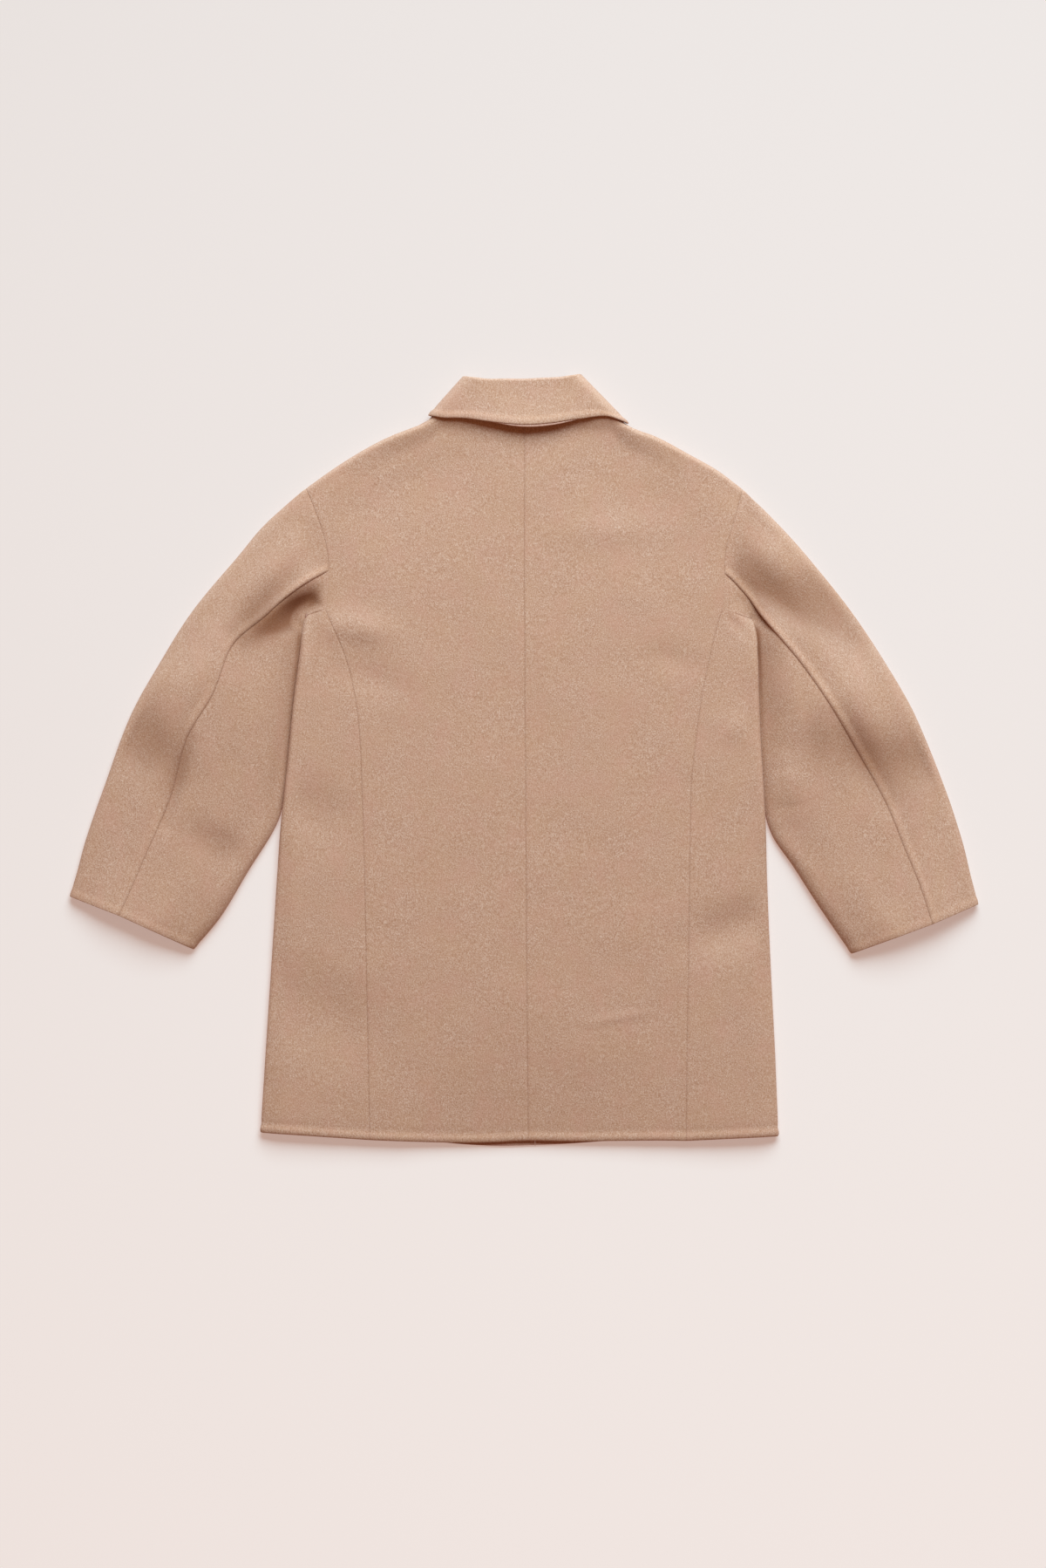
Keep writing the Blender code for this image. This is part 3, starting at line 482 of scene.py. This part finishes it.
def armholeLevel(plan, starts, armhole):  # how far points are from the armhole, and its level nearby
    apart = np.linalg.norm(plan[:, None] - armhole[None, :, :2], axis=-1)
    weights = (apart + sleeves["levelNear"]) ** -sleeves["levelPower"]
    level = (weights * armhole[:, 2]).sum(axis=1) / weights.sum(axis=1)
    onStart = ease(np.linalg.norm(plan - starts[:, :2], axis=-1) / sleeves["startReach"])
    return apart.min(axis=1), level * onStart + starts[:, 2] * (1 - onStart)


def paintedShadeBesideBody(plan, bodyFold):  # painted shade beside the body's fold, as a fold depth: a narrow dark line and a wider soft band
    beside = np.linalg.norm(plan[:, None] - bodyFold[None], axis=-1).min(axis=1)
    gap = sleeves["gapShade"] * np.exp(-((beside / sleeves["gapWidth"]) ** 2))
    return gap + sleeves["shadeDepth"] * np.exp(-((beside / sleeves["shadeWidth"]) ** 2))


def tuckStart(grid, count):  # moves the first row's upper part a little under the body's edge
    first = grid[0, :count]
    run = np.gradient(first[:, :2], axis=0)
    back = np.stack([-run[:, 1], run[:, 0]], axis=-1) / np.linalg.norm(run, axis=1, keepdims=True)
    ahead = grid[sleeves["aheadRow"], :count, :2] - first[:, :2]
    back = -back * np.sign((back * ahead).sum(axis=1, keepdims=True))
    share = ease(np.linalg.norm(first - first[-1], axis=1) / sleeves["tuckReach"])[:, None]
    first += share * np.column_stack([back * sleeves["tuck"], np.full(count, -sleeves["tuckDrop"])])


def sleeveGrid(side, part, startTop, startLow):  # from the back seam round one fold to the seam beneath
    rows = sleeves[side]
    other = {"outer": "inner", "inner": "outer"}[part]

    def at(key, station):
        return float(smooth(rows["station"], rows[key], station))

    dense = np.linspace(0, rows["station"][-1], sleeves["seamPoints"])
    seamLine = np.stack([smooth(rows["station"], rows[key], dense) for key in ("seamX", "seamY")], axis=-1)
    seamLengths = lengths(seamLine)
    stations = np.interp(spaced(seamLengths[-1], cloth["step"]), seamLengths, dense)
    topLine, lowLine = startTop[::-1], np.concatenate([startTop[-1:], startLow])  # both from the fold
    armhole = atShares(topLine, np.linspace(0, 1, sleeves["armPoints"]))
    bodyFold = atShares(bodySide(side)[1], np.linspace(0, 1, sleeves["foldPoints"]))
    bodyFold = bodyFold[bodyFold[:, 1] > sleeves["notch"]]
    grid, hollows = [], []
    for station in stations:
        ends = [np.array([at(key + "X", station), at(key + "Y", station)]) for key in ("seam", part, other)]
        seam, fold, far = ends
        width, beyond = np.linalg.norm(fold - seam), np.linalg.norm(far - seam)
        halves = {"outer": sleeves["outerHalf"], "inner": at("innerHalf", station)}
        level = at(part + "Level", station)
        reach = halves[part] * sleeves["roundShare"]
        under = level * body["tipUnderReach"] / body["tipLevel"]
        top, low = foldSteps(width, reach, under, sleeves["wide"], sleeves["lowSteps"])
        count = len(top)
        if not grid:  # the row that lies on the armhole
            starts, startShare = armholeRow(top / width, low / width, topLine, lowLine)
            straight = fold + startShare[:, None] * (seam - fold)
        settle = ease(station / sleeves["easeIn"])
        bow = max(0.0, 1 - station / sleeves["bowEnd"]) ** 2
        away = np.concatenate([top, low]) * settle + startShare * width * (1 - settle)
        plan = fold + away[:, None] / width * (seam - fold) + bow * (starts[:, :2] - straight)
        onTop = away[:count]
        edge = level + halves[part] * quarterRound(onTop, reach)
        farEdge = at(other + "Level", station) + halves[other]
        edge = edge + (farEdge - edge) * onTop / (width + beyond)
        swell = ease(onTop / sleeves[part + "Reach"])
        swell = swell * ease((beyond + width - onTop) / sleeves[other + "Reach"])
        shallow = creaseRise(*plan[:count].T) * ease(onTop / sleeves["foldClear"])
        own = edge + (at("crown", station) - edge) * swell + shallow
        fromArmhole, armLevel = armholeLevel(plan, starts, armhole)
        leave = ease(fromArmhole / sleeves["leaveReach"])[:count]
        raw = own * leave + armLevel[:count] * (1 - leave)
        deep = creaseRise(*plan[:count].T, sleeves["folds"][side])
        deep = deep * ease(fromArmhole / sleeves["deepStart"])[:count]
        upper = np.where(raw < sleeves["least"], raw, np.maximum(raw + deep, sleeves["least"]))
        lower = level * (1 - quarterRound(away[count:], under))
        lower = lower * settle + starts[count:, 2] * (1 - settle)
        grid.append(np.column_stack([plan, np.concatenate([upper, lower])]))
        # painted shade: from the fold table above, from the depth of troughs and underarm folds, and beside
        # the body's fold
        shade = creaseRise(*plan.T, sleeves["paintedShades"][side])
        shade = shade - np.concatenate([shallow + deep, np.zeros(len(low))])
        hollows.append((paintedShadeBesideBody(plan, bodyFold) + shade) * ease(fromArmhole / sleeves["shadeStart"]))
    grid = np.array(grid)
    if part == "inner":
        tuckStart(grid, count)
    return grid, np.array(hollows)


edgeShapes = {  # cloth beside its edges: distance from the edge, and rise above the panel
    "seam": [(0, -0.35), (0.6, -0.15), (1.4, 0), (3, 0.08), (6, 0.1), (12, 0)],  # pressed open
    "lip": [(0, -0.3), (0.8, 0.4), (2.5, 1.1), (4.5, 1.0), (6.5, 0.2), (9, -0.7), (14, -0.6), (22, -0.15),
            (30, 0)],  # stands up, with a groove above
    "lap": [(0, -0.45), (1.5, -0.35), (4, -0.2), (9, -0.05), (14, 0)],  # the lip's other side
    "roll": [(0, -1.3), (0.5, -0.45), (1.2, 0.1), (3, 0.75), (5.5, 0.9), (8, 0.2), (10, -0.7), (13, -0.45),
             (20, -0.1), (30, 0)],  # turned and felled, with a groove above
}


def sideDistances(grid):  # how far each point is from the four sides of its panel, over the cloth
    up = np.linalg.norm(np.diff(grid, axis=0), axis=-1)
    right = np.linalg.norm(np.diff(grid, axis=1), axis=-1)
    low = np.vstack([np.zeros((1, grid.shape[1])), np.cumsum(up, axis=0)])
    first = np.hstack([np.zeros((grid.shape[0], 1)), np.cumsum(right, axis=1)])
    return {"low": low, "high": low[-1:] - low, "first": first, "last": first[:, -1:] - first}


def surfaceNormals(grid, outside):
    normals = np.cross(np.gradient(grid, axis=1), np.gradient(grid, axis=0))
    normals = normals / np.maximum(np.linalg.norm(normals, axis=-1, keepdims=True), 1e-9)
    row, column, sign = outside
    return normals if normals[row, column, 2] * sign > 0 else -normals


def feltWaves(grid):
    waves = np.zeros(grid.shape[:2])
    for index in np.ndindex(*waves.shape):
        place = Vector((*grid[index][:2], 0))
        waves[index] = sum(height * noise.noise(place / size) for size, height in cloth["waves"])
    return waves


def wallShares(grid):  # share of the full wall
    shares = np.ones(grid.shape[:2])
    for middle in body["underarm"].values():
        off = np.hypot(grid[..., 0] - middle[0], grid[..., 1] - middle[1])
        shares = np.minimum(shares, ease((off - cloth["gatherFrom"]) / cloth["gatherReach"]))
    return np.maximum(shares, cloth["gatherLeast"])


def clothMesh(name, points, outside):  # a grid drawn to the points, and each vertex's row and column
    rows, columns = points.shape[:2]
    shape = bmesh.new()
    bmesh.ops.create_grid(shape, x_segments=columns - 1, y_segments=rows - 1, size=1)
    order = []
    for vert in shape.verts:
        row, column = round((vert.co.y + 1) / 2 * (rows - 1)), round((vert.co.x + 1) / 2 * (columns - 1))
        vert.co = points[row, column]
        order.append((row, column))
    shape.normal_update()
    row, column, sign = outside
    place = Vector(points[row, column])
    near = min(shape.faces, key=lambda face: (face.calc_center_median() - place).length_squared)
    if near.normal.z * sign < 0:
        bmesh.ops.reverse_faces(shape, faces=list(shape.faces))
    mesh = bpy.data.meshes.new(name)
    shape.to_mesh(mesh)
    shape.free()
    mesh.shade_smooth()
    return mesh, tuple(np.array(order).T)


pieces = {}


def panel(name, node, grid, outside, edges, finishes, hollow=0.0):  # cloth with its wall and marks
    distances = sideDistances(grid)
    normals = surfaceNormals(grid, outside)
    onTop = ease(normals[..., 2] * cloth["topTurn"])
    onTop = onTop * ease((grid[..., 2] - cloth["topFrom"]) / cloth["topEase"])
    rise = feltWaves(grid) * onTop
    seamMark, rollMark = np.zeros(grid.shape[:2]), np.zeros(grid.shape[:2])
    for side, (kind, weight) in edges.items():
        weight = np.asarray(weight, float)
        if weight.ndim:  # runs along that side
            weight = weight[None, :] if side in ("low", "high") else weight[:, None]
        rise = rise + weight * smooth(*np.array(edgeShapes[kind], float).T, distances[side])
        mark, reach = (rollMark, cloth["rollMark"]) if kind == "roll" else (seamMark, cloth["seamMark"])
        np.maximum(mark, weight * np.exp(-((distances[side] / reach) ** 2)), out=mark)
    # painted shade: how deep the cloth lies in a fold or beside the body's fold
    paintedFoldShade = np.clip(hollow / cloth["hollowFull"], 0, 1) * onTop
    # painted light and shade: slopes facing up the coat, towards the lamp, are painted paler, and slopes
    # facing down it darker
    paintedSlopeLight = normals[..., 1] * onTop
    points = grid + normals * rise[..., None]
    points[..., 2] = np.maximum(points[..., 2], 0.0)
    points = (points - [layout["middleAcross"], layout["middleAlong"], 0]) * mm
    mesh, order = clothMesh(name, points, outside)
    marks = {"seamMark": seamMark, "rollMark": rollMark, "paintedFoldShade": paintedFoldShade, "paintedSlopeLight": paintedSlopeLight}
    for label, values in marks.items():
        data = mesh.attributes.new(label, "FLOAT", "POINT").data
        data.foreach_set("value", values[order].astype(np.float32))
    corner = np.zeros(len(mesh.loops), np.int32)
    mesh.loops.foreach_get("vertex_index", corner)
    across = distances["first"] - distances["first"][:, [outside[1]]]
    grain = np.dstack([across, distances["low"]]) * mm + np.array(cloth["grainShift"]) * (len(pieces) + 1)
    grain = grain[order][corner].astype(np.float32)
    mesh.uv_layers.new(name="grain").uv.foreach_set("vector", grain.ravel())
    for finish in finishes:
        mesh.materials.append(finish)
    piece = bpy.data.objects.new(name, mesh)
    bpy.context.scene.collection.objects.link(piece)
    share = piece.vertex_groups.new(name="wallShare")
    for index, value in enumerate(wallShares(grid)[order]):
        share.add([index], float(value), "REPLACE")
    wall = piece.modifiers.new("wall", "SOLIDIFY")
    wall.thickness, wall.offset, wall.material_offset = cloth["wall"] * mm, -1, 1
    wall.vertex_group, wall.thickness_vertex_group = share.name, cloth["gatherShare"]
    rim = piece.modifiers.new("rim", "BEVEL")
    rim.affect, rim.segments, rim.profile, rim.material = "EDGES", 2, 0.5, -1
    rim.width, rim.limit_method = cloth["rimRound"] * mm, "ANGLE"
    rim.angle_limit = math.radians(cloth["rimAngle"])
    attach(piece, "root")
    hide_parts(node)
    pieces[name] = piece


def linear(colour):  # sRGB hex to linear
    parts = [int(colour[at:at + 2], 16) / 255 for at in (1, 3, 5)]
    return [part / 12.92 if part <= 0.04045 else ((part + 0.055) / 1.055) ** 2.4 for part in parts] + [1.0]


def add(tree, kind, inputs=None, **settings):
    node = tree.nodes.new(kind)
    for key, value in settings.items():
        setattr(node, key, value)
    for key, value in (inputs or {}).items():
        if isinstance(value, bpy.types.NodeSocket):
            tree.links.new(value, node.inputs[key])
        else:
            node.inputs[key].default_value = value
    return node


woolFinish = {
    "dark": "#a97558", "main": "#ca9d84", "light": "#ebcab6", "warm": "#cb9b78", "rose": "#d09a84",
    # the shade tone is painted shade in folds, at seams and on slopes facing down the coat; the pale tone is
    # a painted highlight on slopes facing up it
    "paintedShade": "#7c431f", "pale": "#e3d2c6", "sheen": "#f2dccb",
    "tones": (0.32, 0.5, 0.68),  # where dark, main and light lie in the mix of fibres
    "patterns": {  # mm across and along the nap, then detail, roughness and distortion
        "fleck": (1.3, 1.69, 3, 0.7, 0.0),  # real fibres are finer: drawn this coarse so that they show
        "fibre": (1.0, 4.0, 2, 0.6, 0.8),
        "mottle": (11.0, 4.0, 2, 0.5, 0.0),  # short streaks across the cloth
        "cloud": (48.0, 48.0, 2, 0.5, 0.0),  # soft patches of warmer wool
        "blush": (34.0, 47.6, 2, 0.5, 0.0),  # and of rosier wool
    },
    "fibreShare": 0.3, "mottleShare": 0.07,
    "shares": {  # from and to in the pattern or the slope, and the most that is mixed in
        "warm": (0.35, 0.7, 0.25), "rose": (0.48, 0.72, 0.35),
        "deep": (-0.1, -0.6, 0.15), "pale": (0.02, 0.5, 0.12),  # painted shade on slopes that face down the coat, painted highlight on slopes that face up it, towards the lamp
    },
    # painted shade: how much of the shade tone goes into seams and into deep folds
    "seamShade": 0.18, "hollowShade": 0.75,
    "stitch": 4.4,  # mm
    "stitchShare": 0.2, "nap": 0.9, "napStrength": 0.7,  # nap in mm
    "roughness": 0.92, "specular": 0.15, "sheenWeight": 0.25, "sheenRoughness": 0.45,
}
reverseFinish = dict(woolFinish, dark="#ad7a66", main="#cb9b88", light="#e6c4b5", warm="#c89882",
                     rose="#d0958a")  # the pinker face inside


def brushedWool(name, finish):  # felted and brushed wool: mixed fibres, short soft nap, no gloss
    material = bpy.data.materials.new(name)
    material.use_nodes = True
    tree = material.node_tree
    shader = tree.nodes["Principled BSDF"]
    onCloth = add(tree, "ShaderNodeUVMap", uv_map="grain").outputs["UV"]
    inSpace = add(tree, "ShaderNodeTexCoord").outputs["Object"]
    value = {}  # patterns and marks by name
    for key, (wide, long, detail, roughness, distortion) in finish["patterns"].items():
        place = inSpace if key == "fleck" else onCloth
        scale = {0: place, 1: (1 / (wide * mm), 1 / (long * mm), 1 / (wide * mm))}
        place = add(tree, "ShaderNodeVectorMath", scale, operation="MULTIPLY").outputs[0]
        inputs = {"Vector": place, "Scale": 1, "Detail": detail, "Roughness": roughness,
                  "Distortion": distortion}
        value[key] = add(tree, "ShaderNodeTexNoise", inputs).outputs["Fac"]
    for key in ("seamMark", "rollMark", "paintedFoldShade", "paintedSlopeLight"):
        value[key] = add(tree, "ShaderNodeAttribute", attribute_name=key).outputs["Fac"]
    sources = {"warm": "cloud", "rose": "blush", "deep": "paintedSlopeLight", "pale": "paintedSlopeLight"}
    for key, (low, high, most) in finish["shares"].items():
        source = value[sources[key]]
        limits = {"Value": source, "From Min": low, "From Max": high, "To Min": 0.0, "To Max": most}
        value[key] = add(tree, "ShaderNodeMapRange", limits).outputs["Result"]

    fibres = {"Factor": finish["fibreShare"], "A": value["fleck"], "B": value["fibre"]}
    grain = add(tree, "ShaderNodeMix", fibres, data_type="FLOAT").outputs["Result"]
    streaks = {"Factor": finish["mottleShare"], "A": grain, "B": value["mottle"]}
    blend = add(tree, "ShaderNodeMix", streaks, data_type="FLOAT").outputs["Result"]
    mixed = add(tree, "ShaderNodeValToRGB", {"Fac": blend})
    ramp = mixed.color_ramp.elements
    ramp.new(finish["tones"][1])
    for element, position, tone in zip(ramp, finish["tones"], ("dark", "main", "light")):
        element.position, element.color = position, linear(finish[tone])
    seam = {0: value["seamMark"], 1: finish["seamShade"]}
    seam = add(tree, "ShaderNodeMath", seam, operation="MULTIPLY").outputs[0]
    hollow = {0: value["paintedFoldShade"], 1: finish["hollowShade"], 2: seam}  # painted shade deep in a fold, plus painted shade at seams
    hollow = add(tree, "ShaderNodeMath", hollow, operation="MULTIPLY_ADD", use_clamp=True).outputs[0]
    paintedShade = {0: hollow, 1: value["deep"]}
    value["paintedShade"] = add(tree, "ShaderNodeMath", paintedShade, operation="ADD", use_clamp=True).outputs[0]
    colour = mixed.outputs["Color"]
    for tone in ("warm", "rose", "paintedShade", "pale"):
        layer = {"Factor": value[tone], "A": colour, "B": linear(finish[tone])}
        colour = add(tree, "ShaderNodeMix", layer, data_type="RGBA").outputs["Result"]

    across = add(tree, "ShaderNodeSeparateXYZ", {"Vector": onCloth}).outputs["X"]
    turns = {0: across, 1: 2 * math.pi / (finish["stitch"] * mm)}
    turns = add(tree, "ShaderNodeMath", turns, operation="MULTIPLY").outputs[0]
    wave = add(tree, "ShaderNodeMath", {0: turns}, operation="SINE").outputs[0]
    stitched = {0: wave, 1: value["rollMark"]}
    stitched = add(tree, "ShaderNodeMath", stitched, operation="MULTIPLY").outputs[0]
    nap = {0: stitched, 1: finish["stitchShare"], 2: grain}
    nap = add(tree, "ShaderNodeMath", nap, operation="MULTIPLY_ADD").outputs[0]
    bump = {"Height": nap, "Strength": finish["napStrength"], "Distance": finish["nap"] * mm}
    bump = add(tree, "ShaderNodeBump", bump).outputs["Normal"]
    tree.links.new(colour, shader.inputs["Base Color"])
    tree.links.new(bump, shader.inputs["Normal"])
    shader.inputs["Roughness"].default_value = finish["roughness"]
    shader.inputs["Specular IOR Level"].default_value = finish["specular"]
    shader.inputs["Sheen Weight"].default_value = finish["sheenWeight"]
    shader.inputs["Sheen Roughness"].default_value = finish["sheenRoughness"]
    shader.inputs["Sheen Tint"].default_value = linear(finish["sheen"])
    return material


wool = brushedWool("camelDoubleWool", woolFinish)
reverse = brushedWool("roseReverseWool", reverseFinish)
bothFaces = (wool, reverse)
print("materials ready")

outsides = {  # a row and a column of each panel's grid, and whether its outside looks up or down there
    "back": (0, 5, 1), "side": (5, 5, 1), "front": (5, 5, -1), "sleeve": (-20, 10, 1), "strip": (3, 20, 1),
}


def sewBody(side, neck):  # makes a back, a side and a front, and gives their edges at the armhole
    shoulder = int(np.argmin(np.abs(neck[:, 2] - collar["level"])))
    back, backRows = backGrid(side, neck[shoulder:])
    front, frontRows = frontGrid(side, neck[shoulder::-1])
    flank = sideGrid(side)
    capital = side.capitalize()
    least = body["faintSeam"]
    along, far, soft = body["armFaint"]
    faint = least + (1 - least) * ease((np.abs(back[:, 0, 1] - along) - far) / soft)
    edges = {"low": ("roll", body["hemRoll"]), "first": ("seam", faint), "last": ("seam", 1)}
    panel("back" + capital, "back_" + side, back, outsides["back"], edges, bothFaces)
    end, soft = body["sideFaint"]
    faint = least + (1 - least) * ease((end - flank[:, 0, 1]) / soft)
    edges = {"low": ("roll", body["hemRoll"]), "first": ("seam", faint)}
    panel("side" + capital, "side_" + side, flank, outsides["side"], edges, bothFaces)
    panel("front" + capital, "front_" + side, front, outsides["front"], {}, bothFaces)
    return back[backRows - 1:, 0], front[frontRows - 1:, 0], flank[-1]


def sewSleeve(side, backEdge, frontEdge, sideEdge):
    seamPoint = np.array(body["armhole"][side][body["sleeveSeamPoint"]])
    backAt, frontAt = (int(np.argmin(np.linalg.norm(edge[:, :2] - seamPoint, axis=1)))
                       for edge in (backEdge, frontEdge))
    foldAt = int(np.argmax(np.abs(sideEdge[:, 0])))
    upper, upperHollow = sleeveGrid(side, "outer", backEdge[backAt:], frontEdge[frontAt:-1][::-1])
    underTop = np.concatenate([backEdge[: backAt + 1][::-1], sideEdge[1: foldAt + 1]])
    underLow = np.concatenate([sideEdge[foldAt + 1:], frontEdge[1: frontAt + 1]])
    under, underHollow = sleeveGrid(side, "inner", underTop, underLow)
    capital, outside = side.capitalize(), outsides["sleeve"]
    run = np.linspace(0, 1, len(upper))
    lip = ease((run - sleeves["lipFrom"]) / (sleeves["lipTo"] - sleeves["lipFrom"]))
    lip = ease(sleeves["lipStart"] + run / sleeves["lipEase"]) * (1 - sleeves["lipLoss"] * lip)
    edges = {"low": ("seam", 1), "first": ("lip", lip), "high": ("roll", sleeves["cuffRoll"])}
    panel("sleeveUpper" + capital, "sleeve_upper_" + side, upper, outside, edges, bothFaces, upperHollow)
    most, start, soft = sleeves["armSeam"]
    onTop = np.arange(under.shape[1]) < under.shape[1] / 2
    faint = most * ease((under[0, :, 1] - start) / soft) * onTop
    edges = {"low": ("seam", faint), "first": ("lap", lip), "high": ("roll", sleeves["cuffRoll"])}
    panel("sleeveUnder" + capital, "sleeve_under_" + side, under, outside, edges, bothFaces, underHollow)


collarShape, neckLine = collarGrids(collarFrames())
onBack = neckLine[:, 2] >= collar["level"]
middle = int(np.argmin(np.where(onBack, np.abs(neckLine[:, 0]), np.inf)))
for side, neck in (("left", neckLine[: middle + 1]), ("right", neckLine[middle:][::-1])):
    sewSleeve(side, *sewBody(side, neck))
edges = {"high": ("roll", collar["edgeRoll"])}
panel("collarCloth", "collar", collarShape, (-5, collarShape.shape[1] // 2, 1), edges, bothFaces)
panel("collarUnderEdge", "collar", collarStrip(collarShape), outsides["strip"], {}, (reverse, reverse))
print("panels ready")

underEdge = pieces.pop("collarUnderEdge")  # the collar's second layer, kept out of the list of pieces

studio = {
    "floor": [(3.0, "#787674"), (0.95, "#a6a4a2"), (0.0, "#bcbab8"), (-0.95, "#d4d2d0"), (-3.0, "#fdfbf9")],
    "floorHalf": 14.0, "floorRoughness": 0.9, "floorSpecular": 0.1,
    "floorGlow": 0.43, "glowColour": "#f7dbd1", "backdrop": "#f0e8e5",
    "keyPlace": (0.8, 4.2, 3.6), "keySize": (4.2, 4.0), "keyPower": 535.0, "keyColour": "#d9f5ff",
    "skyColour": "#ffb789", "skyStrength": 0.24,
    "fieldHigh": 1.870, "aim": (-0.0013, -0.0282), "plane": 0.012,
    "lens": 135.0, "sensor": 36.0, "clipEnd": 50.0,
}
shape = bmesh.new()
bmesh.ops.create_grid(shape, x_segments=2, y_segments=2, size=studio["floorHalf"])
bmesh.ops.translate(shape, verts=shape.verts, vec=(0, 0, -layout["floorDrop"] * mm))
floorMesh = bpy.data.meshes.new("floor")
shape.to_mesh(floorMesh)
shape.free()
paper = bpy.data.materials.new("palePaper")  # matt and uncoated
paper.use_nodes = True
paperTree = paper.node_tree
paperShader = paperTree.nodes["Principled BSDF"]
place = add(paperTree, "ShaderNodeTexCoord").outputs["Object"]
along = add(paperTree, "ShaderNodeSeparateXYZ", {"Vector": place}).outputs["Y"]
far, near = studio["floor"][0][0], studio["floor"][-1][0]
span = {"Value": along, "From Min": far, "From Max": near}
share = add(paperTree, "ShaderNodeMapRange", span).outputs["Result"]
tones = add(paperTree, "ShaderNodeValToRGB", {"Fac": share})  # evens out the light's fall over the table
for at, tone in studio["floor"][1:-1]:
    tones.color_ramp.elements.new((at - far) / (near - far))
for element, (at, tone) in zip(tones.color_ramp.elements, studio["floor"]):
    element.color = linear(tone)
paperTree.links.new(tones.outputs["Color"], paperShader.inputs["Base Color"])
paperShader.inputs["Roughness"].default_value = studio["floorRoughness"]
paperShader.inputs["Specular IOR Level"].default_value = studio["floorSpecular"]
paperShader.inputs["Emission Color"].default_value = linear(studio["glowColour"])
paperShader.inputs["Emission Strength"].default_value = studio["floorGlow"]
floorMesh.materials.append(paper)
floor = bpy.data.objects.new("floor", floorMesh)
bpy.context.scene.collection.objects.link(floor)

key = bpy.data.lights.new("key", "AREA")
key.shape, key.size, key.size_y, key.energy = "RECTANGLE", *studio["keySize"], studio["keyPower"]
key.color = linear(studio["keyColour"])[:3]
keyLight = bpy.data.objects.new("key", key)
keyLight.location = studio["keyPlace"]
towards = Vector((0, 0, 0)) - Vector(studio["keyPlace"])
keyLight.rotation_euler = towards.to_track_quat("-Z", "Y").to_euler()
bpy.context.scene.collection.objects.link(keyLight)
world = bpy.data.worlds.new("studio")
world.use_nodes = True
worldTree = world.node_tree
sky = worldTree.nodes["Background"]
sky.inputs["Color"].default_value = linear(studio["skyColour"])
sky.inputs["Strength"].default_value = studio["skyStrength"]
backdrop = add(worldTree, "ShaderNodeBackground", {"Color": linear(studio["backdrop"])})
seen = add(worldTree, "ShaderNodeLightPath").outputs["Is Camera Ray"]
both = {0: seen, 1: sky.outputs[0], 2: backdrop.outputs[0]}
shown = add(worldTree, "ShaderNodeMixShader", both)  # the backdrop is paler than the light from it
worldTree.links.new(shown.outputs[0], worldTree.nodes["World Output"].inputs["Surface"])
bpy.context.scene.world = world
bpy.context.scene.view_settings.view_transform = "Standard"

lens = bpy.data.cameras.new("camera")
lens.lens, lens.sensor_width, lens.clip_end = studio["lens"], studio["sensor"], studio["clipEnd"]
camera = bpy.data.objects.new("camera", lens)
distance = studio["fieldHigh"] * studio["lens"] / studio["sensor"]
camera.location = (*studio["aim"], distance + studio["plane"])
bpy.context.scene.collection.objects.link(camera)
bpy.context.scene.camera = camera
print("studio ready")
